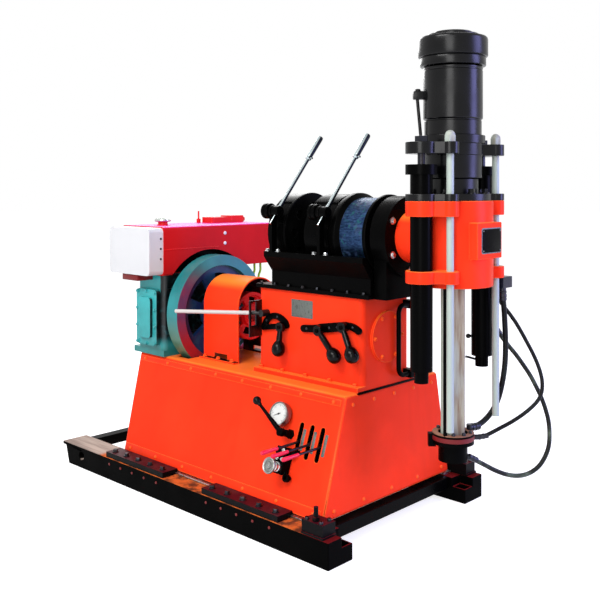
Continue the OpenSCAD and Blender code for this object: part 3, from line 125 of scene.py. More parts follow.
class Mat(Nodes):
    """A procedural material."""

    def __init__(self, name, **sockets):
        self.mat = bpy.data.materials.new(name)
        self.mat.use_nodes = True
        super().__init__(self.mat.node_tree)
        self.bsdf = self.tree.nodes["Principled BSDF"]
        self.coord = self.node("TexCoord").outputs
        self.set(**sockets)

    def set(self, **sockets):
        for key, value in sockets.items():
            self.feed(self.bsdf.inputs[key.replace("_", " ")], value)
        return self

    def noise(self, scale, detail=4.0, stretch=(1, 1, 1), roughness=0.55):
        placed = self.node("Mapping", {"Vector": self.coord["Object"], "Scale": stretch}).outputs[0]
        inputs = {"Vector": placed, "Scale": scale, "Detail": detail, "Roughness": roughness}
        return self.node("TexNoise", inputs).outputs["Fac"]

    def range(self, value, low, high, to_low=0, to_high=1):
        inputs = {"Value": value, "From Min": low, "From Max": high, "To Min": to_low, "To Max": to_high}
        return self.node("MapRange", inputs, interpolation_type="SMOOTHSTEP").outputs[0]

    def mix(self, factor, a, b):
        made = self.node("Mix", data_type="RGBA")
        for key, value in (("Factor", factor), (6, a), (7, b)):
            self.feed(made.inputs[key], value)
        return made.outputs[2]

    def lay(self, factor, colour):
        """Lays another colour over the one so far."""
        under = self.bsdf.inputs["Base Color"].links[0].from_socket
        return self.set(Base_Color=self.mix(factor, under, colour))

    def split(self, output):
        """X, Y and Z of one of the texture coordinates."""
        return tuple(self.node("SeparateXYZ", {0: self.coord[output]}).outputs)

    def up(self, low=0.55, high=0.9):
        """1 on faces that look up at rest."""
        return self.range(self.split("Normal")[2], low, high)

    def edges(self, radius):
        """1 along the sharp edges of a piece."""
        round_normal = self.node("Bevel", {"Radius": radius}, samples=4).outputs[0]
        flat_normal = self.node("NewGeometry").outputs["Normal"]
        dot = self.node("VectorMath", {0: round_normal, 1: flat_normal}, operation="DOT_PRODUCT")
        return self.range(self.math("SUBTRACT", 1, dot.outputs["Value"]), 0.02, 0.22)

    def bump(self, height, strength, distance):
        made = self.node("Bump", {"Height": height, "Strength": strength, "Distance": distance})
        self.set(Normal=made.outputs[0])


DUST, UNDERCOAT = (0.42, 0.34, 0.28, 1), (0.05, 0.035, 0.03, 1)
WEAR_WIDTH, RUN_MARKS = 0.006, (1.6, 1.6, 0.12)


def paint(name, colour, rough=0.34, coat=0, deep=0.84, light=1, dust=0.12, chip=0.25, under=UNDERCOAT,
          top=None, streak=0.12, rim=None, spec=0.3):
    """Enamel with a little orange peel, run marks, dust and chipped edges."""
    m = Mat(name, Coat_Weight=coat, Coat_Roughness=0.12, Specular_IOR_Level=spec)
    m.set(Base_Color=m.mix(m.range(m.noise(2.6, 5), 0.35, 0.68), linear(colour, deep), linear(colour, light)))
    m.lay(m.times(m.range(m.noise(7, 3, RUN_MARKS), 0.52, 0.74), streak), linear(colour, 0.55))
    # A colour laid on up-facing faces: on the orange enamels and the red enamel it is a painted reflection of the
    # sky.
    if top:
        m.lay(m.times(m.up(), m.range(m.noise(5, 4), 0.2, 0.6, 0.8, 1)), top)
    edge = m.edges(WEAR_WIDTH)
    # A paler colour along the sharp edges: a painted highlight.
    if rim:
        m.lay(m.times(edge, 0.55), rim)
    film = m.times(m.up(0.2, 0.95), m.range(m.noise(14, 6), 0.42, 0.75, 0, dust))
    m.lay(film, DUST)
    worn = m.times(edge, m.range(m.noise(38, 6), 0.56, 0.66))
    spots = m.range(m.noise(85, 2), 0.77, 0.8)
    chips = m.times(m.math("MAXIMUM", worn, spots), chip)
    m.lay(chips, under)
    gloss = m.range(m.noise(9, 5), 0.3, 0.75, rough - 0.05, rough + 0.1)
    m.bump(m.math("ADD", m.times(m.noise(260, 2), 0.5), m.times(chips, -0.8)), 0.1, 0.0006)
    return m.set(Roughness=m.math("ADD", gloss, m.times(film, 0.5)))


EVEN, DRAWN = (1, 1, 1), (1, 1, 0.06)


def steel(name, colour, rough, stain, amount=0.3, grain=EVEN, scratch=0.16, stain_scale=14):
    """Machined or drawn metal with fine grain, stains and scratches."""
    m = Mat(name, Metallic=1)
    fine = m.noise(420, 3, grain)
    m.set(Base_Color=m.mix(m.range(m.noise(5, 4, grain), 0.3, 0.7), linear(colour, 0.86), colour))
    blot = m.times(m.range(m.noise(stain_scale, 7, (1, 1, 0.35), 0.62), 0.53, 0.68), amount)
    m.lay(blot, stain)
    gloss = m.range(fine, 0.3, 0.7, rough - 0.06, rough + scratch)
    m.bump(m.math("ADD", fine, m.times(blot, 1.5)), 0.06, 0.0004)
    m.set(Metallic=m.math("SUBTRACT", 1, m.times(blot, 0.75)))
    return m.set(Roughness=m.math("ADD", gloss, m.times(blot, 0.45)))


def rubber(name, colour, sheen):
    """Dull hose cover with a woven imprint and a paler worn side."""
    m = Mat(name, Sheen_Weight=0.03, Specular_IOR_Level=0.12)
    worn = m.range(m.noise(11, 4), 0.45, 0.7)
    tone = m.mix(m.times(worn, 0.6), colour, sheen)
    inputs = {"Vector": m.coord["Object"], "Scale": 180.0, "Distortion": 1.2, "Detail": 2.0}
    weave = m.node("TexWave", inputs, bands_direction="Z").outputs["Fac"]
    m.bump(m.math("ADD", weave, m.noise(300, 3)), 0.25, 0.0006)
    return m.set(Base_Color=tone, Roughness=m.range(worn, 0, 1, 0.36, 0.55))


ORANGE, TEAL = (255, 58, 26), (52, 166, 168)
RIM_INSIDE, HUB_X = (0.209, 0.204), (-0.006, 0.004)
COVER_EDGE_X, BLOCK_FOOT_Z = (-0.538, -0.532), (0.58, 0.53)
TAIL_X, NOSE_X = (-0.7, -0.66), (0.5, 0.56)


def flywheel_enamel():
    """Teal enamel, navy on the web; on the front face of the rim a painted reflection in purple that turns red at the
    bottom, and painted shade in olive at the bottom.
    """
    m = paint("teal_flywheel_painted_light", (40, 142, 146), deep=0.62, light=1.1, streak=0.2, coat=0.1, chip=0.2,
              under=(140, 90, 110))
    _, y, z = m.split("Object")
    z = m.math("SUBTRACT", z, DRIVE_Z)
    r = m.math("SQRT", m.math("ADD", m.times(y, y), m.times(z, z)), 0)
    front_painted_light_mask = m.range(m.split("Normal")[0], 0.5, 0.9)
    low = m.range(m.math("ADD", z, m.times(y, 0.6)), 0.16, -0.02, 0.1, 1)
    bottom_painted_light = m.range(z, 0.02, -0.14)
    plum_reflection = m.mix(m.range(m.noise(20, 4), 0.35, 0.65), (112, 58, 92), (84, 62, 100))
    navy = m.mix(m.range(m.noise(14, 4), 0.4, 0.6), (14, 34, 78), (20, 60, 92))
    # Painted shade: olive towards the bottom of the wheel.
    m.lay(m.times(bottom_painted_light, 0.8), (84, 112, 78))
    # Painted reflection: purple on the front face of the rim, strongest low down, turning red at the bottom.
    m.lay(m.times(front_painted_light_mask, low), m.mix(bottom_painted_light, plum_reflection, (146, 34, 44)))
    return m.lay(m.range(r, *RIM_INSIDE), navy)


def crankcase_enamel():
    """Teal enamel, darker at the foot, with painted shade in near-black on the side towards the flywheel."""
    m = paint("teal_block_with_painted_shade", TEAL, deep=0.62, light=1.1, streak=0.35, coat=0.15)
    x, _, z = m.split("Object")
    front_painted_light_mask = m.range(m.split("Normal")[0], 0.3, 0.8)
    front_painted_light_mask = m.math("MAXIMUM", front_painted_light_mask, m.range(x, *COVER_EDGE_X))
    # Painted shade: near-black with dark teal mottling on the faces towards the flywheel, above the foot.
    painted_shade_colour = m.mix(m.range(m.noise(40, 5), 0.5, 0.75), (5, 10, 12), (24, 60, 64))
    m.lay(m.range(z, *BLOCK_FOOT_Z, 0, 0.6), (24, 84, 76))
    return m.lay(m.times(front_painted_light_mask, m.range(z, 0.55, 0.6)), painted_shade_colour)


def clutch_lever_enamel():
    """White enamel, blackened with grease at the hub."""
    m = paint("white_lever_enamel", (196, 190, 186), deep=0.93, coat=0.1, dust=0.02, chip=0.12, streak=0.05)
    return m.lay(m.range(m.split("Object")[0], *HUB_X), (14, 12, 12))


def guard_enamel():
    """Orange enamel with a painted reflection on the up-facing faces, a painted highlight along the edges, and
    painted shade in near-black on the inside of the arch.
    """
    m = paint("orange_guard_painted_light", ORANGE, top=(255, 132, 44), rim=(255, 150, 64), deep=0.9, dust=0.03, spec=0.06)
    _, y, z = m.split("Object")
    _, ny, nz = m.split("Normal")
    outward = m.math("ADD", m.times(y, ny), m.times(m.math("SUBTRACT", z, DRIVE_Z), nz))
    # Painted shade on the inside of the arch.
    painted_shade_inside = m.mix(m.range(m.noise(18, 5), 0.4, 0.65), (16, 6, 6), (70, 14, 12))
    return m.lay(m.range(outward, -0.02, -0.06), painted_shade_inside)


def runner_enamel():
    """Black enamel, on top grey-brown at the tail, rusty further on and red at the nose."""
    m = paint("black_runner_enamel", (3, 3, 3), rough=0.5, dust=0.02, chip=0.35, under=(80, 50, 40), spec=0.012)
    x = m.split("Object")[0]
    tail = m.mix(m.range(m.noise(30, 5, (0.1, 1, 1)), 0.35, 0.7), (186, 168, 156), (140, 124, 116))
    rusty = m.mix(m.range(m.noise(24, 5), 0.4, 0.65), (206, 100, 46), (96, 52, 34))
    top = m.mix(m.range(x, *TAIL_X), tail, rusty)
    top = m.mix(m.range(x, *NOSE_X), top, (96, 18, 20))
    return m.lay(m.up(0.75, 0.95), top)


def dull_rod(name, colour, stain, amount):
    """Drawn rod, greased and dull, with length-wise grain and stains."""
    m = steel(name, colour, 0.4, stain, amount=amount, grain=(1, 1, 0.03), stain_scale=9)
    return m.set(Metallic=m.range(m.noise(30, 4, (1, 1, 0.03)), 0.3, 0.7, 0.05, 0.2), Specular_IOR_Level=0.15)


def rusty_side():
    """Drawn hexagon steel, brown with rust on the sides away from the operator."""
    m = dull_rod("hexagon_steel_with_rust", (172, 182, 168), (138, 96, 66), 0.6)
    x = m.split("Normal")[0]
    patches = m.range(m.noise(16, 6, (1, 1, 0.2)), 0.3, 0.6, 0.35, 1)
    brown = m.mix(m.range(m.noise(60, 4, (1, 1, 0.1)), 0.35, 0.65), (176, 166, 132), (124, 88, 50))
    return m.lay(m.times(m.range(x, 0.55, 0.95), patches), brown)


def lever_with_painted_shade():
    """Drawn steel, with painted shade darkening the side that faces +X and +Y."""
    m = steel("polished_steel_painted_shade", (190, 202, 204), 0.26, (90, 92, 96), amount=0.15, scratch=0.06)
    x, y, _ = m.split("Normal")
    # Painted shade in near-black on the side facing +X and +Y.
    under = m.range(m.math("ADD", m.times(x, 0.75), m.times(y, 0.66)), 0, 0.35)
    return m.lay(under, (16, 18, 22))


def drum_film():
    """Dark steel with the blue and green film that a wire rope leaves."""
    m = steel("worn_blue_drum", (36, 56, 92), 0.42, (10, 18, 44), amount=1, stain_scale=34)
    fine = m.mix(m.range(m.noise(150, 6, (0.4, 1, 1)), 0.3, 0.74), (18, 30, 60), (58, 86, 124))
    green = m.range(m.noise(70, 5), 0.56, 0.66, 0, 0.7)
    return m.lay(0.75, m.mix(green, fine, (40, 104, 100)))


MATS = {
    # Orange enamel with a painted reflection on its up-facing faces and a painted highlight along its edges.
    "orange": paint("orange_enamel", ORANGE, top=(255, 122, 44), rim=(255, 130, 54), deep=0.82, dust=0.03,
        spec=0.06, streak=0.24),
    # Screw heads a paler orange than the enamel: a painted highlight.
    "screw_orange": paint("orange_screw_heads", (255, 92, 34), dust=0.05, chip=0.4, spec=0.1, under=(120, 40, 20)),
    "guard": guard_enamel(),
    # Red enamel with a painted reflection of the sky, in magenta, on its up-facing faces.
    "red": paint("red_enamel", (202, 22, 26), top=(232, 52, 170), dust=0, chip=0.1, spec=0.08),
    "plain_red": paint("signal_red_enamel", (222, 28, 30), chip=0.2, coat=0.02, spec=0.15),
    "dark_red": paint("dark_red_primer", (112, 20, 22), rough=0.45, chip=0.35),
    "grip_red": paint("red_grip_sleeve", (232, 30, 66), rough=0.4, coat=0.05, chip=0.1),
    "teal": paint("teal_enamel", TEAL, deep=0.62, light=1.1, streak=0.35, coat=0.25),
    "crankcase": crankcase_enamel(),
    "flywheel": flywheel_enamel(),
    "black": paint("black_enamel", (3, 3, 3), rough=0.3, dust=0.006, chip=0.22, under=(60, 57, 57), spec=0.022),
    "gloss_black": paint("gloss_black_enamel", (4, 4, 5), rough=0.25, dust=0.005, chip=0.08,
        under=(50, 48, 50), light=1.2, streak=0.04, spec=0.21),
    # The up-facing faces are tinted dark red.
    "black_oxide": paint("black_over_red_primer", (9, 8, 9), rough=0.4, dust=0.04, chip=0.6,
        under=(96, 30, 28), top=(66, 12, 22), spec=0.05),
    "runner": runner_enamel(),
    "knob": paint("polished_black_knob", (3, 3, 4), rough=0.18, dust=0, chip=0.06, under=(50, 48, 50),
        streak=0, spec=0.12),
    "plate_black": paint("bare_black_plate", (12, 13, 15), rough=0.4, chip=0.15, dust=0, spec=0.06),
    "white": paint("white_enamel", (214, 214, 216), deep=0.93, coat=0.1, dust=0.02, chip=0.12,
        under=(120, 116, 112), streak=0.05),
    "clutch_lever": clutch_lever_enamel(),
    "dial": paint("white_dial", (216, 217, 212), rough=0.3, coat=0.3, deep=0.97, dust=0, chip=0, streak=0),
    "fuel_line": paint("yellow_green_fuel_line", (170, 226, 40), rough=0.3, coat=0.1, chip=0),
    "rust": paint("rusty_brown_scale", (150, 104, 78), rough=0.62, deep=0.5, light=1.2, chip=0.5, under=(70, 30, 24)),
    "chrome": steel("chromed_rod", (214, 220, 214), 0.2, (120, 104, 90), grain=DRAWN),
    "bezel": steel("worn_bezel", (150, 152, 148), 0.3, (84, 72, 62), amount=0.6, stain_scale=40),
    "steel": steel("machined_steel", (196, 199, 200), 0.26, (90, 84, 80), grain=DRAWN),
    "zinc": steel("zinc_plated_steel", (205, 207, 206), 0.24, (110, 104, 96)),
    "dark_steel": steel("blackened_steel", (52, 53, 58), 0.3, (60, 42, 34), amount=0.35),
    "bare_plate": steel("bare_etched_plate", (112, 116, 112), 0.55, (44, 48, 44), amount=0.8, stain_scale=110),
    "drum_steel": drum_film(),
    "rusty_steel": rusty_side(),
    "lever_steel": lever_with_painted_shade(),
    "guide_rod": dull_rod("dull_chromed_rod", (174, 185, 176), (140, 112, 90), 0.5),
    "hose": rubber("black_hose_cover", (10, 10, 11), (34, 40, 36)),
    "hose_worn": rubber("worn_hose_cover", (26, 28, 25), (112, 126, 106)),
}


# Meshes

shifted = Matrix.Translation
BOLT_SPIN = 0.4


def aimed(point, normal, spin=0):
    """Matrix that carries the origin to point and the Z axis to normal."""
    turn = Vector(normal).to_track_quat("Z", "Y").to_matrix().to_4x4()
    return shifted(point) @ turn @ Matrix.Rotation(spin, 4, "Z")


def about_z(degrees):
    return Matrix.Rotation(radians(degrees), 4, "Z")


def moved(bm, matrix):
    bmesh.ops.transform(bm, matrix=matrix, verts=bm.verts)
    return bm


def mesh_of(bm, name):
    """A mesh with the faces of bm, which ends here."""
    mesh = bpy.data.meshes.new(name)
    bm.to_mesh(mesh)
    bm.free()
    return mesh


def join(bm, other):
    """Adds the faces of another mesh to bm."""
    mesh = mesh_of(other, "part")
    bm.from_mesh(mesh)
    bpy.data.meshes.remove(mesh)
    return bm


def facing_out(bm):
    bmesh.ops.recalc_face_normals(bm, faces=bm.faces)
    return bm


def around(r, degrees):
    """Points of a circle at these angles."""
    return [(r * cos(radians(a)), r * sin(radians(a))) for a in degrees]


def ring(r, count, start=0):
    """Evenly spaced points of a circle."""
    return around(r, [start + 360 * k / count for k in range(count)])


def skin(bm, rings):
    """Joins each ring of points to the next. A ring of one point is a tip."""
    for a, b in zip(rings, rings[1:]):
        count = max(len(a), len(b))
        for k in range(count):
            n = (k + 1) % count
            corners = list(dict.fromkeys([a[k % len(a)], a[n % len(a)], b[n % len(b)], b[k % len(b)]]))
            if len(corners) > 2:
                bm.faces.new(corners)
    return facing_out(bm)


def lathe(profile, sides, closed=False):
    """Turns (radius, height) points about Z. A closed profile makes a ring."""
    bm = bmesh.new()
    rings = [[bm.verts.new((x, y, z)) for x, y in ring(r, sides if r > 1e-7 else 1)] for r, z in profile]
    return skin(bm, rings + rings[:1] if closed else rings)


def turned(profile, sides, closed=False):
    """The same, from a profile in millimetres."""
    return lathe([(r / 1000, z / 1000) for r, z in profile], sides, closed)


def softened(bm, width, segments=2, angle=30):
    """Rounds the edges of bm that are sharper than the angle."""
    if width <= 0:
        return bm
    sharp = [e for e in bm.edges if e.is_manifold and e.calc_face_angle(0) > radians(angle)]
    bmesh.ops.bevel(bm, geom=sharp, offset=width, segments=segments, profile=0.5, affect="EDGES", clamp_overlap=True)
    return bm


def prism(outline, depth, bevel=0):
    """A plate with this outline in XY, from Z = 0 to depth."""
    bm = bmesh.new()
    face = bm.faces.new([bm.verts.new((x, y, 0)) for x, y in outline])
    grown = bmesh.ops.extrude_face_region(bm, geom=[face])
    bmesh.ops.translate(bm, vec=(0, 0, depth), verts=[v for v in grown["geom"] if isinstance(v, bmesh.types.BMVert)])
    return softened(facing_out(bm), bevel)


def slab(lo, hi, bevel=0, segments=2):
    """A box between two corners with rounded edges."""
    (x0, y0, z0), (x1, y1, z1) = lo, hi
    bm = prism([(x0, y0), (x1, y0), (x1, y1), (x0, y1)], z1 - z0)
    return softened(moved(bm, shifted((0, 0, z0))), bevel, segments)


def rounded(w, h, r):
    """Outline of a rectangle with rounded corners."""
    steps = 5
    points = []
    for cx, cy, start in ((1, 1, 0), (-1, 1, 90), (-1, -1, 180), (1, -1, 270)):
        for x, y in around(r, [start + 90 * k / steps for k in range(steps + 1)]):
            points.append((cx * (w / 2 - r) + x, cy * (h / 2 - r) + y))
    return points


def smooth_path(points, per=6):
    """Catmull-Rom points through a route."""
    p = [Vector(q) for q in points]
    p = [2 * p[0] - p[1], *p, 2 * p[-1] - p[-2]]
    made = []
    for i in range(1, len(p) - 2):
        a, b, c, d = p[i - 1 : i + 3]
        for k in range(per):
            t = k / per
            made.append(0.5 * (2 * b + (c - a) * t + (2 * a - 5 * b + 4 * c - d) * t * t
                               + (3 * b - a - 3 * c + d) * t ** 3))
    return [*made, p[-2]]


def way(points, k):
    """Direction of a path at one of its points."""
    return (points[min(k + 1, len(points) - 1)] - points[max(k - 1, 0)]).normalized()


def tube(path, radius, sides=16):
    """Closed tube along a route."""
    bm = bmesh.new()
    points = [Vector(q) for q in path]
    across = way(points, 0).orthogonal().normalized()
    rings = []
    for k, point in enumerate(points):
        along = way(points, k)
        across = (across - along * across.dot(along)).normalized()
        side = along.cross(across)
        rings.append([bm.verts.new(point + across * x + side * y) for x, y in ring(radius, sides)])
    bm.faces.new(rings[0][::-1])
    bm.faces.new(rings[-1])
    return skin(bm, rings)


def hex_bolt(r, h):
    """Hexagon head with a chamfered crown, on a washer."""
    wide, thick = r * 1.3, h * 0.28
    washer = lathe([(0, 0), (wide, 0), (wide, h * 0.22), (wide * 0.94, thick), (0, thick)], 24)
    return join(washer, lathe([(r, h * 0.26), (r, h * 0.9), (r * 0.84, h * 1.08), (0, h * 1.08)], 6))


def cap_screw(r, h):
    """Socket head screw."""
    socket, floor = r * 0.56, h * 0.4
    return lathe([(r, 0), (r, h * 0.9), (r * 0.92, h), (socket, h), (socket, floor), (0, floor)], 20)


def dome_screw(r, h):
    """Low round head."""
    return lathe([(r, 0), (r * 0.97, h * 0.35), (r * 0.8, h * 0.75), (r * 0.45, h * 0.96), (0, h)], 18)


class Piece:
    """Collects meshes for one object that rides on one body."""

    def __init__(self, name, material, body="rig"):
        self.name, self.body = name, body
        self.material = MATS[material].mat
        self.bm = bmesh.new()

    def add(self, bm, matrix=Matrix()):
        join(self.bm, moved(bm, matrix))
        return self

    def bolts(self, points, normal, r, h, make=hex_bolt):
        """Adds one fastener at each point."""
        for k, point in enumerate(points):
            self.add(make(r, h), aimed(point, normal, BOLT_SPIN * k))
        return self

    def done(self, angle=38, replaces=()):
        mesh = mesh_of(self.bm, self.name)
        mesh.materials.append(self.material)
        mesh.shade_smooth()
        mesh.set_sharp_from_angle(angle=radians(angle))
        made = linked(self.name, mesh)
        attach(made, self.body)
        if replaces:
            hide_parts(*replaces)
        return made


# Hoses

HOSES = {
    "hose_a": (0.014, "hose", [
        (50, 214, 884), (50, 214, 870), (54, 216, 854), (64, 219, 836), (79, 224, 816), (97, 230, 792),
        (114, 237, 766), (132, 246, 732), (148, 255, 698), (164, 263, 664), (178, 270, 630), (190, 275, 594),
        (198, 275, 560), (201, 268, 528), (198, 254, 502), (187, 232, 478), (165, 202, 450), (138, 168, 424),
        (110, 130, 402), (88, 94, 385), (76, 75, 379), (66, 63, 376.5),
    ]),
    "hose_b": (0.016, "hose_worn", [
        (27, 240, 740), (34, 249, 724), (48, 257, 700), (68, 266, 672), (92, 278, 640), (116, 291, 602),
        (137, 302, 566), (156, 312, 525), (172, 319, 488), (186, 323, 448), (197, 324, 408), (204, 319, 364),
        (206, 309, 320), (200, 291, 282), (187, 266, 250), (167, 234, 230), (143, 200, 224), (117, 163, 232),
        (92, 127, 250), (70, 94, 272), (54, 66, 290), (46, 48, 302), (41, 40, 307),
    ]),
    "hose_c": (0.02, "hose", [
        (90, 186, 884), (89, 191, 850), (87, 201, 812), (86, 207, 770), (87, 209, 730), (88, 209, 690),
        (88, 208, 650), (87, 205, 610), (84, 200, 570), (80, 192, 530), (75, 182, 496), (68, 169, 466),
        (60, 152, 442), (52, 130, 423), (44, 104, 410), (37, 80, 404.5), (33, 68, 404),
    ]),
}
FERRULE_LENGTH = 0.034


def ferrule(start, toward, r):
    """Crimped sleeve with its ring grooves, on a hose end."""
    wide, waist = r * 1.38, r * 1.26
    sleeve = lathe([
        (r * 0.9, 0), (wide, 0), (wide, 0.006), (waist, 0.008), (waist, 0.012), (wide, 0.014), (wide, 0.02),
        (waist, 0.022), (waist, 0.026), (r * 1.34, 0.028), (r * 1.22, FERRULE_LENGTH), (r * 1.02, FERRULE_LENGTH),
    ], 24)
    return moved(sleeve, aimed(start, toward))


for hose_name, (hose_d, hose_mat, route) in HOSES.items():
    route_m = [(SPINDLE_X + x / 1000, y / 1000, z / 1000) for x, y, z in route]
    path = smooth_path(route_m, 5)
    hose = Piece(hose_name + "_cover", hose_mat, "rotator").add(tube(path, hose_d / 2, 18)).done(60, (hose_name,))
    crimps = Piece(hose_name + "_crimps", "dark_steel", "rotator")
    for end, inward in ((path[0], path[3]), (path[-1], path[-4])):
        crimps.add(ferrule(end, inward - end, hose_d / 2))
    crimps.done()


# Solids carried over from the part, with softened edges

FINISH = {
    "orange": "gearbox_case rotator_housing",
    "guard": "clutch_guard",
    "red": "fuel_tank",
    "plain_red": "engine_top_cover clutch_wheel",
    "teal": "cylinder_head",
    "crankcase": "crankcase crankcase_cover",
    "flywheel": "flywheel",
    "white": "radiator_hood",
    "clutch_lever": "clutch_lever",
    "runner": "near_runner far_runner",
    "black_oxide": "hold_down_plates stop_blocks",
    "black": "feed_cylinders cross_beams slide_barrel return_pipe winch_base front_housing brake_bands valve_block "
             "lift_drum rod_holder",
    "gloss_black": "bearing_cover crosshead",
    "chrome": "slide_rod",
    "guide_rod": "guide_rods",
    "steel": "slide_shoes crankshaft",
    "dark_steel": "hose_fittings piston_rods",
}
INSIDE = "input_shaft idler_gear winch_shaft bevel_pinion drive_sleeve oil_tank"
PLAIN_EDGE = 0.002
EDGE = {"fuel_tank": 0.006, "radiator_hood": 0.006, "crankcase": 0.005, "crankcase_cover": 0.005,
        "rotator_housing": 0.004, "gearbox_case": 0.004, "near_runner": 0.004, "far_runner": 0.004}


def soften(node, width):
    """Rounds a solid's edges by modifiers, and evens its shading."""
    node.modifiers.new("weld", "WELD").merge_threshold = 0.00002
    bevel = node.modifiers.new("edges", "BEVEL")
    bevel.width, bevel.segments = width, 2
    bevel.limit_method, bevel.angle_limit = "ANGLE", radians(40)
    bevel.harden_normals = False
    node.modifiers.new("even", "WEIGHTED_NORMAL").keep_sharp = True


for finish, names in (*FINISH.items(), ("steel", INSIDE)):
    for node_name in names.split():
        node = nodes[node_name]
        node.data.materials.clear()
        node.data.materials.append(MATS[finish].mat)
        if names != INSIDE:
            soften(node, EDGE.get(node_name, PLAIN_EDGE))


# Cabinet

SHEET, CORNER_R = 0.004, 0.013
VALVE_X, VALVE_H = (-0.196, -0.144, -0.092), 0.236
GAUGE, BALL, WHEEL = (-0.29, 0.302), (-0.24, 0.245), (-0.228, 0.132)
BALL_HOLE_R, WHEEL_HOLE_R = 0.0092, 0.0072
FLYWHEEL_SLOT = ((-0.49, -0.1975, 0.48), (-0.402, 0.1975, 0.53))
HEM, HEM_INSET, SCREW_INSET = 0.0022, 0.016, 0.05
HEM_HEIGHTS = ((0.004, 0.04), (0.374, 0.396))
SIDE_ROWS, END_ROWS = ((0.022, 7), (0.385, 8)), (0.03, 0.375)
END_SCREWS, SCREW = 5, (0.0075, 0.0045)


def frustum(inset):
    """Sloping block of the cabinet, drawn in by a sheet thickness."""
    bm = bmesh.new()
    near, far = inset / cos(PANEL_LEAN), inset / cos(FAR_LEAN)
    rings = []
    for x0, x1, y0, y1, z in (
        (FOOT_REAR_X, FOOT_FRONT_X, -FOOT_Y, FOOT_Y, DECK_Z + inset),
        (TOP_REAR_X, TOP_FRONT_X, -TOP_Y, TOP_FAR_Y, TOP_Z - inset),
    ):
        x0, x1, y0, y1 = x0 + inset, x1 - inset, y0 + near, y1 - far
        rings.append([bm.verts.new((x, y, z)) for x, y in ((x0, y0), (x1, y0), (x1, y1), (x0, y1))])
    bm.faces.new(rings[0][::-1])
    bm.faces.new(rings[1])
    return skin(bm, rings)


def panel(x, h, out=0, lean=PANEL_LEAN):
    """Matrix on the operator's panel, Z out of the sheet and Y up it; x from the foot's front, h from the deck."""
    origin = Vector((FOOT_FRONT_X + x, -FOOT_Y + h * tan(lean), DECK_Z + h))
    turn = Matrix.Rotation(pi / 2 - lean, 4, "X")
    return shifted(origin) @ turn @ shifted((0, 0, out))


def span(h, inset=0):
    """Rear and front end of the side sheets at a height, as x on the panel."""
    share = h / CABINET_H
    rear = FOOT_REAR_X + (TOP_REAR_X - FOOT_REAR_X) * share - FOOT_FRONT_X
    return rear + inset, (TOP_FRONT_X - FOOT_FRONT_X) * share - inset


def on_side(bm, matrix, mirror):
    """Carries a mesh to the near side of the cabinet, or mirrored to the far side."""
    moved(moved(bm, matrix), Matrix.Scale(mirror, 4, (0, 1, 0)))
    if mirror < 0:
        bmesh.ops.reverse_faces(bm, faces=bm.faces)
    return bm


def cut(piece, cutters):
    """Cuts closed meshes out of a piece."""
    others = [linked("cutter", mesh_of(bm, "cutter")) for bm in cutters]
    for other in others:
        tool = piece.modifiers.new("cut", "BOOLEAN")
        tool.object, tool.operation, tool.solver = other, "DIFFERENCE", "EXACT"
    bpy.context.view_layer.update()
    result = bpy.data.meshes.new_from_object(piece.evaluated_get(bpy.context.evaluated_depsgraph_get()))
    piece.modifiers.clear()
    piece.data = result
    for other in others:
        bpy.data.objects.remove(other)


shell = Piece("cabinet_shell", "orange").add(softened(frustum(0), CORNER_R, 4)).done(30, ("cabinet",))
cutters = [frustum(SHEET), slab(*FLYWHEEL_SLOT)]
cutters += [moved(prism(rounded(0.022, 0.124, 0.01), 0.06), panel(vx, VALVE_H, -0.03)) for vx in VALVE_X]
for place, hole_r in ((BALL, BALL_HOLE_R), (WHEEL, WHEEL_HOLE_R)):
    cutters.append(moved(lathe([(0, -0.03), (hole_r, -0.03), (hole_r, 0.03), (0, 0.03)], 24), panel(*place)))
cut(shell, cutters)
shell.data.shade_smooth()
shell.data.set_sharp_from_angle(angle=radians(30))
shell.modifiers.new("even", "WEIGHTED_NORMAL").keep_sharp = True

# Folded hems along the foot and the top of the cabinet's sheets, and their screws
hems = Piece("cabinet_hems", "orange")
screws = Piece("cabinet_screws", "screw_orange")
for mirror, lean in ((1, PANEL_LEAN), (-1, FAR_LEAN)):
    for heights in HEM_HEIGHTS:
        (rear0, front0), (rear1, front1) = [span(h, HEM_INSET) for h in heights]
        low, high = [h / cos(lean) for h in heights]
        outline = [(rear0, low), (front0, low), (front1, high), (rear1, high)]
        hems.add(on_side(prism(outline, HEM, 0.0008), panel(0, 0, 0, lean), mirror))
    for h, count in SIDE_ROWS:
        x0, x1 = span(h, SCREW_INSET)
        for k in range(count):
            at = panel(x0 + (x1 - x0) * k / (count - 1), h, HEM, lean)
            screws.add(on_side(dome_screw(*SCREW), at, mirror))
for h in END_ROWS:
    share = h / CABINET_H
    y0 = -FOOT_Y + (FOOT_Y - TOP_Y) * share + SCREW_INSET
    y1 = FOOT_Y + (TOP_FAR_Y - FOOT_Y) * share - SCREW_INSET
    rear, front = span(h)
    for k in range(END_SCREWS):
        y = y0 + (y1 - y0) * k / (END_SCREWS - 1)
        for x, normal in ((front, (CABINET_H, 0, FOOT_FRONT_X - TOP_FRONT_X)),
                          (rear, (-CABINET_H, 0, TOP_REAR_X - FOOT_REAR_X))):
            screws.add(dome_screw(*SCREW), aimed((FOOT_FRONT_X + x, y, DECK_Z + h), normal))
hems.done()
screws.done(50)


# Spindle and chuck

HEAD_Z, CHUCK_Z = 1.684, 1.441
HEX_LOW, HEX_HIGH, HEX_SIDES = 0.371, 1.288, 48
HEX_FLATS, BORE_R, JOURNAL_R = 0.082, 0.03, 0.0405
LUG_TURN, HOLDER_Z = -136, 0.394
COVER_Z, COVER_RING_Z = 1.237, 1.289
PLATE_X, PLATE_Y = 0.98, 0.0095


def on_axis(z, turn=0):
    """Matrix on the spindle's axis at a height, turned by degrees."""
    return shifted((SPINDLE_X, 0, z)) @ about_z(turn)


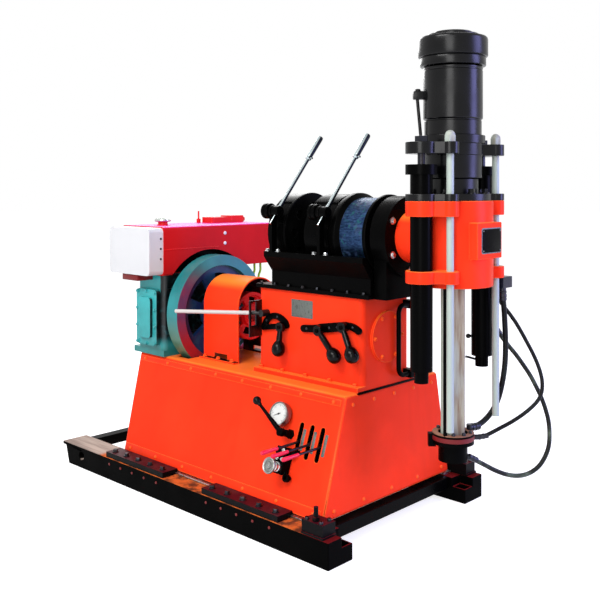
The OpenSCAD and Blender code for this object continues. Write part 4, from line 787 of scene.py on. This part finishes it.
def hex_bar(flats, bore, z0, z1):
    """Hexagonal bar with a round bore; its corners lie on the X axis."""
    bm = bmesh.new()
    rings = [[], [], [], []]
    for k, (x, y) in enumerate(ring(1, HEX_SIDES)):
        r = flats / 2 / cos(2 * pi * k / HEX_SIDES % (pi / 3) - pi / 6)
        for points, (radius, z) in zip(rings, ((r, z0), (r, z1), (bore, z1), (bore, z0))):
            points.append(bm.verts.new((radius * x, radius * y, z)))
    return softened(skin(bm, rings + rings[:1]), 0.0016, 2, 40)


bar = Piece("spindle_bar", "rusty_steel", "spindle").add(hex_bar(HEX_FLATS, BORE_R, HEX_LOW, HEX_HIGH), on_axis(0))
journal = [(BORE_R, HEX_HIGH), (JOURNAL_R, HEX_HIGH), (JOURNAL_R, HEAD_Z), (BORE_R, HEAD_Z)]
bar.add(lathe(journal, 48, True), on_axis(0)).done(30, ("spindle",))

head = Piece("chuck_head", "gloss_black", "spindle").add(turned([
    (30, 0), (111, 0), (114, 1), (115, 4), (115, 29), (114, 31.5), (117, 32.5), (120.5, 34), (122, 37), (122, 92),
    (120.5, 98), (117, 102), (111, 104), (95, 104.5), (92, 106), (92, 111), (90, 113), (73, 113.5), (70, 115),
    (70, 119), (67, 122), (35, 122), (30, 117),
], 96, True), on_axis(HEAD_Z))
for k in range(3):
    head.add(slab((0.036, -0.016, 0.1135), (0.066, 0.016, 0.1216), 0.003), on_axis(HEAD_Z, 120 * k + 20))
head.done(30)

barrel = Piece("chuck_barrel", "gloss_black", "feed").add(turned([
    (66, 0), (97, 0), (100, 2), (100, 50), (98.5, 52), (98.5, 55), (102, 57), (104, 60), (104, 226), (102.4, 228),
    (102.4, 231), (104, 233), (104, 238), (102, 240), (66, 240),
], 96, True), on_axis(CHUCK_Z))
lug_at = on_axis(CHUCK_Z, LUG_TURN)
barrel.add(slab((0.096, -0.013, 0.128), (0.141, 0.013, 0.158), 0.004), lug_at)
barrel.add(tube([(0.114, 0, 0.001), (0.126, 0, 0.131)], 0.0058), lug_at)
barrel.add(hex_bolt(0.009, 0.007), lug_at @ shifted((0.124, 0, 0.158)))
barrel.done(30, ("upper_chuck",))

cover_bolts = Piece("bearing_cover_bolts", "gloss_black", "rotator")
cover_bolts.bolts([(SPINDLE_X + x, y, COVER_Z) for x, y in ring(0.112, 8, 22.5)], UP, 0.012, 0.016)
cover_bolts.add(turned([(52, -1), (82, -1), (83, 0.5), (81, 2.4), (52, 2.4)], 72, True), on_axis(COVER_RING_Z))
cover_bolts.done()

# Boss plate, rod holder rim and the fittings of the far cylinder
border = Piece("boss_plate_border", "bare_plate", "rotator")
border.add(prism(rounded(0.126, 0.088, 0.008), 0.0012, 0.0004), aimed((PLATE_X, PLATE_Y, SWIVEL_Z), FRONT))
for y in (-0.044, 0.063):
    border.bolts([(PLATE_X + 0.0025, y, SWIVEL_Z + z) for z in (-0.034, 0.034)], FRONT, 0.003, 0.0018, dome_screw)
border.done()
Piece("boss_plate", "black", "rotator").add(
    prism(rounded(0.118, 0.08, 0.006), 0.0014, 0.0004), aimed((PLATE_X + 0.0011, PLATE_Y, SWIVEL_Z), FRONT)).done()

Piece("holder_rim", "rust", "rotator").add(turned([
    (52, 0), (72.4, 0), (73.4, 1.2), (72, 3.4), (53.5, 3.4), (52, 2)], 72, True), on_axis(HOLDER_Z)).done()
Piece("holder_band", "dark_red", "rotator").add(turned([
    (73.6, 0), (75, 1), (75.4, 8), (75, 15), (73.6, 16)], 72, True), on_axis(HOLDER_Z - 0.022)).done()
Piece("holder_bolts", "dark_steel", "rotator").bolts(
    [(SPINDLE_X + x, y, HOLDER_Z + 0.003) for x, y in around(0.0622, (-55, -20, 18, 105, 180))], UP, 0.0065, 0.009,
    cap_screw).done()

LEFTWARD = Vector((-0.723, -0.691, 0))
FAR_CYLINDER = Vector((SPINDLE_X, 0.19, 0))
BLEED_Z, BALL_R = 0.71, 0.009


def beside_cylinder(out, z):
    return FAR_CYLINDER + LEFTWARD * out + Vector((0, 0, z))


bleed = Piece("cylinder_bleed", "gloss_black", "rotator")
bleed.add(tube([beside_cylinder(out, BLEED_Z) for out in (0.036, 0.044)], 0.005, 14))
bleed.add(lathe([(y, -x) for x, y in around(BALL_R, [18 * k for k in range(11)])], 20),
          shifted(beside_cylinder(0.05, BLEED_Z)))
nipple = ((0.02, 0.624), (0.036, 0.628), (0.05, 0.632), (0.06, 0.634))
bleed.add(tube(smooth_path([beside_cylinder(*at) for at in nipple]), 0.0042, 14)).done()


# Winch

rope_frame = aimed((0.245, 0, SWIVEL_Z), FRONT)
castings = Piece("rope_drum_castings", "black", "rope")
castings.add(turned([
    (30.1, 4), (66, 4), (66, 24), (132, 24), (132, 2), (134, 0), (148, 0), (150, 2), (150, 139), (152, 141),
    (159.5, 144), (161, 147), (161, 166), (159, 169), (145, 176), (143, 179), (30.1, 179),
], 96, True), rope_frame)
castings.add(turned([
    (30.1, 290), (143, 290), (145, 292), (154, 296), (156, 298.5), (156, 308.5), (154, 311), (30.1, 311),
], 96, True), rope_frame)
castings.done(30, ("rope_drum",))
grooved = [(143 - 0.5 * (k % 2), 178 + 4.2 * k) for k in range(27)]
Piece("rope_drum_barrel", "drum_steel", "rope").add(
    turned([(100, 177), *grooved, (100, 291.5)], 96, True), rope_frame).done(50)

PIVOT_Y, PIVOT_Z = -0.177, 1.165
LEVER_LEAN = radians(40)
LEDGE_Y, LEDGE_Z = -0.178, 1.005
FLANGE_Y, FLANGE_Z = 0.1512, 0.868
SEAT_X, SEAT_R = 0.645, 0.123
HUB_TURNINGS = (
    (-0.0503, [(0, 0), (27, 0), (31, 4), (31, 14), (27.5, 17), (27.5, 20), (31, 23), (31, 33), (28, 36), (0, 36)]),
    (-0.0153, [(0, 0), (13.9, 0), (13.9, 16.6), (0, 16.6)]),
    (0.0003, [(0, 0), (21, 0), (22, 1.5), (22, 31), (19, 34), (9, 34), (9, 37), (0, 37)]),
)
ledge_bolts = Piece("winch_bolts", "steel")
for lever, body, post_x in (("lift_lever", "lift_brake", 0.111), ("brake_lever", "rope_brake", 0.364)):
    hub = Piece(lever + "_hub", "black", body)
    for start, profile in HUB_TURNINGS:
        hub.add(turned(profile, 48), aimed((post_x + start, PIVOT_Y, PIVOT_Z), FRONT))
    hub.done(30, (lever,))
    along = aimed((post_x + 0.018, PIVOT_Y, PIVOT_Z), (0, sin(LEVER_LEAN), cos(LEVER_LEAN)))
    rod = Piece(lever + "_rod", "lever_steel", body)
    rod.add(turned([
        (0, -62), (3.6, -62), (4.4, -60), (4.4, -16), (8.6, -14), (8.6, 20), (7.4, 60), (7.4, 272), (12, 275),
        (12, 284), (10.4, 286), (11.2, 290), (12.6, 388), (11.2, 394), (0, 396),
    ], 28), along)
    rod.add(tube([(-0.004, 0, 0.279), (-0.022, 0, 0.279)], 0.004, 12), along).done()
    ledge_bolts.bolts([(post_x + dx, LEDGE_Y, LEDGE_Z) for dx in (-0.036, 0.022)], UP, 0.0085, 0.009)
flange_bolts = Piece("winch_flange_bolts", "dark_steel")
for side in (-1, 1):
    flange_bolts.bolts([(0.012 + 0.0765 * k, side * FLANGE_Y, FLANGE_Z) for k in range(8)], UP, 0.0058, 0.008)
flange_bolts.done()
ledge_bolts.bolts([(SEAT_X, y, SWIVEL_Z + z) for y, z in ring(SEAT_R, 6, 30)], FRONT, 0.0105, 0.009).done()


# Gearbox and clutch

case_bolts = Piece("case_bolts", "orange")
for side in (-1, 1):
    case_bolts.bolts([(x, side * 0.158, 0.528) for x in (0.015, 0.135, 0.26, 0.385, 0.51)], UP, 0.0085, 0.01)
    case_bolts.bolts([(x, side * 0.135, 0.518) for x in (-0.365, -0.278, -0.19)], UP, 0.008, 0.009)
case_bolts.bolts([(0.546, y, DRIVE_Z + z) for y, z in ring(0.082, 6)], FRONT, 0.0065, 0.007).done()

plate = Piece("gearbox_plate", "bare_plate")
plate.add(prism(rounded(0.114, 0.069, 0.003), 0.0014, 0.0004), aimed((0.233, -CASE_Y, 0.7855), NEAR))
plate.bolts([(x, -CASE_Y - 0.0014, z) for x in (0.18, 0.286) for z in (0.755, 0.816)], NEAR, 0.0022, 0.0014,
            dome_screw).done()

SHIFT = [((0.137, 0.706), 3, 0.084), ((0.34, 0.716), 49, 0.123), ((0.461, 0.742), 32, 0.11)]
GATE_T = 0.012
GATES = [
    (0.0125, [(25, 692), (40, 718), (64, 738), (92, 744), (122, 738), (146, 724), (154, 712)]),
    (0.011, [(25, 692), (60, 697), (100, 703), (140, 708)]),
    (0.014, [(248, 712), (290, 716), (340, 724)]),
    (0.0175, [(336, 722), (400, 733), (462, 743)]),
    (0.013, [(456, 746), (485, 746), (508, 741), (524, 733)]),
]
GATE_SCREWS = ((46, 723), (108, 742), (268, 714), (385, 730), (425, 737), (500, 744))


def left_of(v):
    return Vector((-v.y, v.x))


def round_end(point, along, half):
    """Half circle at the end of a strap."""
    return [point + along * y + left_of(along) * x for x, y in around(half, [22.5 * k for k in range(1, 8)])]


def strap(path, half):
    """Outline of a flat strap with round ends along a path."""
    points = [p.to_2d() for p in smooth_path([(x / 1000, z / 1000, 0) for x, z in path])]
    ways = [way(points, k) for k in range(len(points))]
    left = [point + left_of(along) * half for point, along in zip(points, ways)]
    right = [point - left_of(along) * half for point, along in zip(points, ways)]
    nose, heel = round_end(points[-1], ways[-1], half), round_end(points[0], -ways[0], half)
    return (left + nose + right[::-1] + heel)[::-1]


gates = Piece("shift_gate_straps", "black")
for k, (half, path) in enumerate(GATES):
    gates.add(prism(strap(path, half), GATE_T - 0.0006 * (k % 2), 0.0015), aimed((0, -CASE_Y, 0), NEAR))
for (px, pz), _, _ in SHIFT:
    gates.add(turned([(0, 0), (8, 0), (8, 37), (6.5, 38), (0, 38)], 24), aimed((px, -CASE_Y, pz), NEAR))
gates.done(30, ("shift_gates",))
Piece("gate_screws", "dark_steel").bolts(
    [(x / 1000, -CASE_Y - GATE_T, z / 1000) for x, z in GATE_SCREWS], NEAR, 0.0055, 0.0035, dome_screw).done()
for k, ((px, pz), swing, length) in enumerate(SHIFT, 1):
    lever = Piece(f"shift_lever_{k}_dressed", "knob", f"shift_{k}")
    foot = Vector((px, -CASE_Y - GATE_T - 0.012, pz))
    lever.add(turned([(8.1, -10), (18.5, -10), (20, -8.5), (20, 8.5), (18.5, 10), (8.1, 10)], 40, True),
              aimed(foot, NEAR))
    arm = Vector((length * sin(radians(swing)), -0.016, -length * cos(radians(swing))))
    reach = arm.length * 1000
    lever.add(turned([
        (0, 16), (10, 16), (10.5, 24), (12, 40), (12, reach - 34), (13.5, reach - 30), (19, reach - 24),
        (25, reach - 12), (27, reach), (25.5, reach + 12), (20, reach + 22), (11, reach + 28), (0, reach + 30),
    ], 36), aimed(foot, arm))
    lever.done(40, (f"shift_lever_{k}",))

clutch_gate = Piece("clutch_gate", "dark_steel").add(
    slab((0.002, -0.214, 0.655), (0.007, -0.1445, 0.802), 0.001)).done()
cut(clutch_gate, [slab((0, -0.204, 0.7), (0.009, -0.178, 0.795))])

# A thin black strip between the gearbox's foot and the cabinet's top front edge.
Piece("gearbox_foot_strip", "black").add(slab((0.5215, -0.168, 0.5035), (0.539, 0.23, 0.5125), 0.001)).done()


# Engine

COVER_Y = -0.272
engine_bolts = Piece("engine_bolts", "teal")
for x in (-0.671, -0.544):
    engine_bolts.bolts([(x, COVER_Y, z) for z in (0.567, 0.642, 0.718, 0.793)], NEAR, 0.007, 0.008)
engine_bolts.bolts([(-0.6075, COVER_Y, z) for z in (0.5625, 0.7975)], NEAR, 0.007, 0.008)
engine_bolts.add(slab((-0.668, 0.257, 0.838), (-0.552, 0.306, 0.868), 0.007, 3))
engine_bolts.bolts([(x, 0.282, 0.868) for x in (-0.645, -0.575)], UP, 0.007, 0.009).done()

Piece("hood_screws", "dark_steel").bolts(
    [(-0.494, -0.279, z) for z in (0.945, 0.99, 1.034)], FRONT, 0.005, 0.0035, dome_screw).done()
Piece("hood_bracket", "dark_red").add(slab((-0.705, -0.334, 0.846), (-0.59, -0.249, 0.876), 0.003)).done()

Piece("tank_screws", "white").bolts(
    [(-0.49, 0.09, z) for z in (0.999, 1.046)], FRONT, 0.0085, 0.005, dome_screw).done()
Piece("tank_seam", "plain_red").add(slab((-0.4915, -0.263, 0.983), (-0.488, 0.052, 0.9872), 0.0012)).done()

ARCH_R, LINER_T = 0.2778, 0.0016
ARCH_START, ARCH_END, ARCH_STEPS = 44, 141.5, 40


def arch(r):
    """Points of the arch over the flywheel."""
    return around(r, [ARCH_START + (ARCH_END - ARCH_START) * k / ARCH_STEPS for k in range(ARCH_STEPS + 1)])


# Painted shade: a black band lining the arch and a black sheet closing it, where the gap over the flywheel shows only
# shade.
arch_shade_sheet = Piece("arch_painted_shade", "black")
arch_shade_sheet.add(prism(arch(ARCH_R) + arch(ARCH_R - LINER_T)[::-1], 0.068), aimed((-0.5592, 0, DRIVE_Z), FRONT))
arch_shade_sheet.add(prism(arch(ARCH_R), 0.0014), aimed((-0.5598, 0, DRIVE_Z), FRONT)).done()

fuel_lines = Piece("fuel_lines", "fuel_line")
for y in (0.322, 0.362):
    route = [(-0.548, y, 0.806), (-0.546, y, 0.825), (-0.538, y + 0.003, 0.85), (-0.536, y + 0.001, 0.872),
             (-0.536, y, 0.894)]
    fuel_lines.add(tube(smooth_path(route), 0.0055, 14))
fuel_lines.done()

cap_at = shifted((-0.65, -0.15, 1.085))
Piece("filler_neck", "plain_red", "cap").add(turned([
    (0, 0), (25, 0), (25, 3), (22, 5), (22, 15), (25, 18), (0, 18)], 40), cap_at).done(30, ("filler_cap",))
Piece("filler_lid", "chrome", "cap").add(turned([
    (0, 17), (34, 17), (37, 19), (38, 22), (37, 28), (33, 32), (26, 34), (24, 37), (14, 40.5), (0, 42)], 48),
    cap_at).done(30)


# Controls on the operator's panel

dial_at, wheel_at, ball_at = panel(*GAUGE), panel(*WHEEL), panel(*BALL)

Piece("gauge_case", "bezel").add(turned([
    (0, 0), (16, 0), (16, 12), (41, 12), (44, 14), (45, 17), (45, 36), (44.4, 40), (42.4, 42), (40, 41.4), (38.8, 39),
    (38.8, 36.4), (0, 36.4)], 64), dial_at).done(30, ("pressure_gauge",))
Piece("gauge_dial", "dial").add(turned([(0, 36.2), (38.7, 36.2), (38.7, 37), (0, 37)], 64), dial_at).done(30)
marks = Piece("gauge_marks", "plate_black")
for k in range(31):
    start, half = (0.027, 0.0007) if k % 5 == 0 else (0.031, 0.0004)
    marks.add(slab((start, -half, 0.0369), (0.0355, half, 0.0373)), dial_at @ about_z(225 - 9 * k))
marks.add(prism([(-0.01, -0.0016), (0.024, -0.0004), (0.024, 0.0004), (-0.01, 0.0016)], 0.0008, 0.0001),
          dial_at @ shifted((0, 0, 0.0378)) @ about_z(205))
marks.add(turned([(0, 37), (3.6, 37), (3.6, 38.6), (2, 39.4), (0, 39.4)], 20), dial_at).done()

for k, vx in enumerate(VALVE_X, 1):
    level = panel(vx, VALVE_H, -0.026) @ Matrix.Rotation(PANEL_LEAN, 4, "X")
    rod = Piece(f"valve_rod_{k}", "dark_steel", f"valve_{k}")
    rod.add(turned([(0, -10.7), (9, -10.7), (10, -9.7), (10, 9.7), (9, 10.7), (0, 10.7)], 28),
            level @ Matrix.Rotation(pi / 2, 4, "Y"))
    rod.add(turned([(0, 4), (7, 8), (7, 24), (4.6, 32), (4.6, 144), (0, 144)], 20), level)
    rod.done(30, (f"valve_lever_{k}",))
    Piece(f"valve_grip_{k}", "grip_red", f"valve_{k}").add(turned([
        (4.5, 134), (5.8, 134), (6.8, 136), (6.0, 140), (7.6, 205), (7.2, 211), (5, 214.4), (0, 215)], 24),
        level).done(40)

wheel = Piece("handwheel_rim", "bezel", "wheel")
wheel.add(turned([(0, -24), (7, -24), (7, 96), (5, 98), (0, 98)], 28), wheel_at)
wheel.add(turned([
    (6.5, 83), (11, 82), (13, 85.5), (19, 84), (23, 82.6), (27, 82.2), (29.4, 84.6), (30, 88), (28.6, 91.8),
    (25.5, 93.6), (22.6, 92), (20, 88), (14, 89), (11.4, 94), (6.5, 95)], 56, True), wheel_at)
wheel.done(30, ("handwheel",))

bonnet = Piece("throttle_bonnet", "zinc")
bonnet.add(turned([
    (15.1, 42), (18, 42), (18, 51), (16, 53), (16, 63), (13.5, 66), (13.5, 78), (7.4, 78), (7.4, 58.6),
    (15.1, 58.6)], 40, True), wheel_at)
for x, y in ((-0.013, 0.03), (0.013, 0.03), (0.01, 0.062)):
    bonnet.add(hex_bolt(0.0055, 0.006), wheel_at @ shifted((x, y, 0.042)))
bonnet.done(30)
fittings = Piece("throttle_fittings", "black")
fittings.add(turned([(7, 0), (13, 0), (14, 1), (14, 15), (13, 16), (7, 16)], 32, True),
             wheel_at @ shifted((0.034, -0.03, 0.012)))
for pipe_r, route in (
    (0.008, [(0.018, -0.012, 0.02), (0.023, -0.018, 0.02), (0.027, -0.023, 0.02)]),
    (0.0066, [(0.034, -0.03, 0), (0.034, -0.03, 0.006), (0.034, -0.03, 0.013)]),
    (0.007, [(0.02, 0.05, 0.024), (0.034, 0.052, 0.024), (0.044, 0.06, 0.02), (0.047, 0.066, 0.006),
             (0.047, 0.067, -0.002)]),
):
    fittings.add(tube(smooth_path(route), pipe_r), wheel_at)
fittings.done()

strips = Piece("label_strips", "bare_plate")
for vx, aside in zip(VALVE_X, (0.0205, 0.021, 0.024)):
    strips.add(prism(rounded(0.014, 0.078, 0.003), 0.0014, 0.0004), panel(vx + aside, VALVE_H + 0.002))
    for h in (-0.031, 0.035):
        strips.add(dome_screw(0.0022, 0.0014), panel(vx + aside, VALVE_H + h, 0.0014))
strips.done()

ball_foot, ball_tip = Vector((0, 0, 0.056)), Vector((-0.118, 0.088, 0.096))
ball_along = ball_at @ aimed(ball_foot, ball_tip - ball_foot)
reach = (ball_tip - ball_foot).length * 1000
arm = Piece("ball_lever_arm", "black", "ball")
arm.add(turned([
    (0, -24), (9, -24), (9, 44.5), (13.5, 46), (15, 47.5), (15, 64), (13, 66), (0, 67)], 32), ball_at)
arm.add(turned([
    (0, 6), (9, 6), (10, 14), (9, 36), (6.6, 84), (5.4, reach - 16), (0, reach - 16)], 24), ball_along)
arm.done(34, ("ball_lever",))
Piece("ball_lever_knob", "knob", "ball").add(turned([
    (0, -22), (7, -22), (8, -20), (8, -15.5), (10, -12.5), (13.6, -8.4), (15.5, -4), (16, 0), (15.5, 4), (13.6, 8.4),
    (10, 12.5), (5, 15.2), (0, 16)], 40), ball_along @ shifted((0, 0, reach / 1000))).done(50)

Piece("stem_collars", "black").add(turned([
    (9.2, 0), (19, 0), (19, 5), (16, 7), (14.5, 9), (14.5, 38), (12.5, 41), (9.2, 41)], 6, True), ball_at).done(30)


# Skid

HOLD_DOWNS = ((-0.638, 0.402), (0.005, 0.413))
skid_bolts = Piece("skid_bolts", "dark_steel", "skid")
rivets = Piece("runner_rivets", "dark_red", "skid")
block_screws = Piece("stop_block_screws", "dark_steel", "skid")
for side in (-1, 1):
    for x0, length in HOLD_DOWNS:
        stations = [x0 + 0.035 + (length - 0.07) * k / 4 for k in range(5)]
        skid_bolts.bolts([(x, side * 0.438, 0.114) for x in stations], UP, 0.0105, 0.012)
        rivets.bolts([(x, side * 0.47, 0.068) for x in stations], (0, side, 0), 0.0055, 0.003, dome_screw)
    block_screws.bolts([(x, side * y, 0.139) for x in (0.55, 0.614) for y in (0.413, 0.454)], UP, 0.0075, 0.009,
                       cap_screw)
for piece in (skid_bolts, rivets, block_screws):
    piece.done()


# Light, floor and background

FLOOR, FLOOR_Z = 40.0, -0.0005


def area_light(name, at, target, size, power, colour=(1, 1, 1)):
    data = bpy.data.lights.new(name, "AREA")
    data.shape = "RECTANGLE"
    data.size, data.size_y = size
    data.energy, data.color = power, colour
    lamp = linked(name, data)
    lamp.location = at
    lamp.rotation_euler = (Vector(target) - Vector(at)).to_track_quat("-Z", "Y").to_euler()


def show(m, plain, direct, output):
    """Shows one shader to the camera, in reflections and through glass, and the plain one to other rays."""
    ray = m.node("LightPath").outputs
    seen = m.math("MAXIMUM", ray["Is Camera Ray"], ray["Is Glossy Ray"])
    seen = m.math("MAXIMUM", seen, ray["Is Transmission Ray"])
    choose = m.node("MixShader", {0: seen, 1: plain.outputs[0], 2: direct.outputs[0]})
    m.feed(m.tree.nodes[output].inputs["Surface"], choose.outputs[0])


area_light("key", (0.5, -3.9, 4.6), (0.1, 0, 0.7), (3.0, 1.8), 225)
area_light("front", (2.6, -4.2, 2.1), (0.4, 0, 1.1), (1.9, 3.2), 110)
area_light("side", (4.3, 2.0, 2.1), (0.6, 0, 1.3), (1.8, 3.2), 230, (0.38, 0.38, 1))
area_light("back", (-3.5, 2.6, 3.4), (-0.2, 0, 0.9), (2.4, 2.4), 120)

scene.world = world = bpy.data.worlds.new("studio")
world.use_nodes = True
sky = Nodes(world.node_tree)
ambient = sky.tree.nodes["Background"]
sky.feed(ambient.inputs["Color"], (0.92, 0.95, 1, 1))
sky.feed(ambient.inputs["Strength"], 0.45)
bright = sky.node("Background", {"Color": (1, 1, 1, 1), "Strength": 1})
show(sky, ambient, bright, "World Output")

floor_mat = Mat("pale_floor")
diffuse = floor_mat.node("BsdfDiffuse", {"Color": (0.6, 0.6, 0.6, 1)})
glow = floor_mat.node("Emission", {"Strength": 0.78})
both = floor_mat.node("AddShader", {0: diffuse.outputs[0], 1: glow.outputs[0]})
show(floor_mat, diffuse, both, "Material Output")

floor_mesh = bpy.data.meshes.new("floor")
corners = [(FLOOR * x, FLOOR * y, FLOOR_Z) for x, y in ((-1, -1), (1, -1), (1, 1), (-1, 1))]
floor_mesh.from_pydata(corners, [], [(0, 1, 2, 3)])
floor_mesh.materials.append(floor_mat.mat)
floor = linked("floor", floor_mesh)
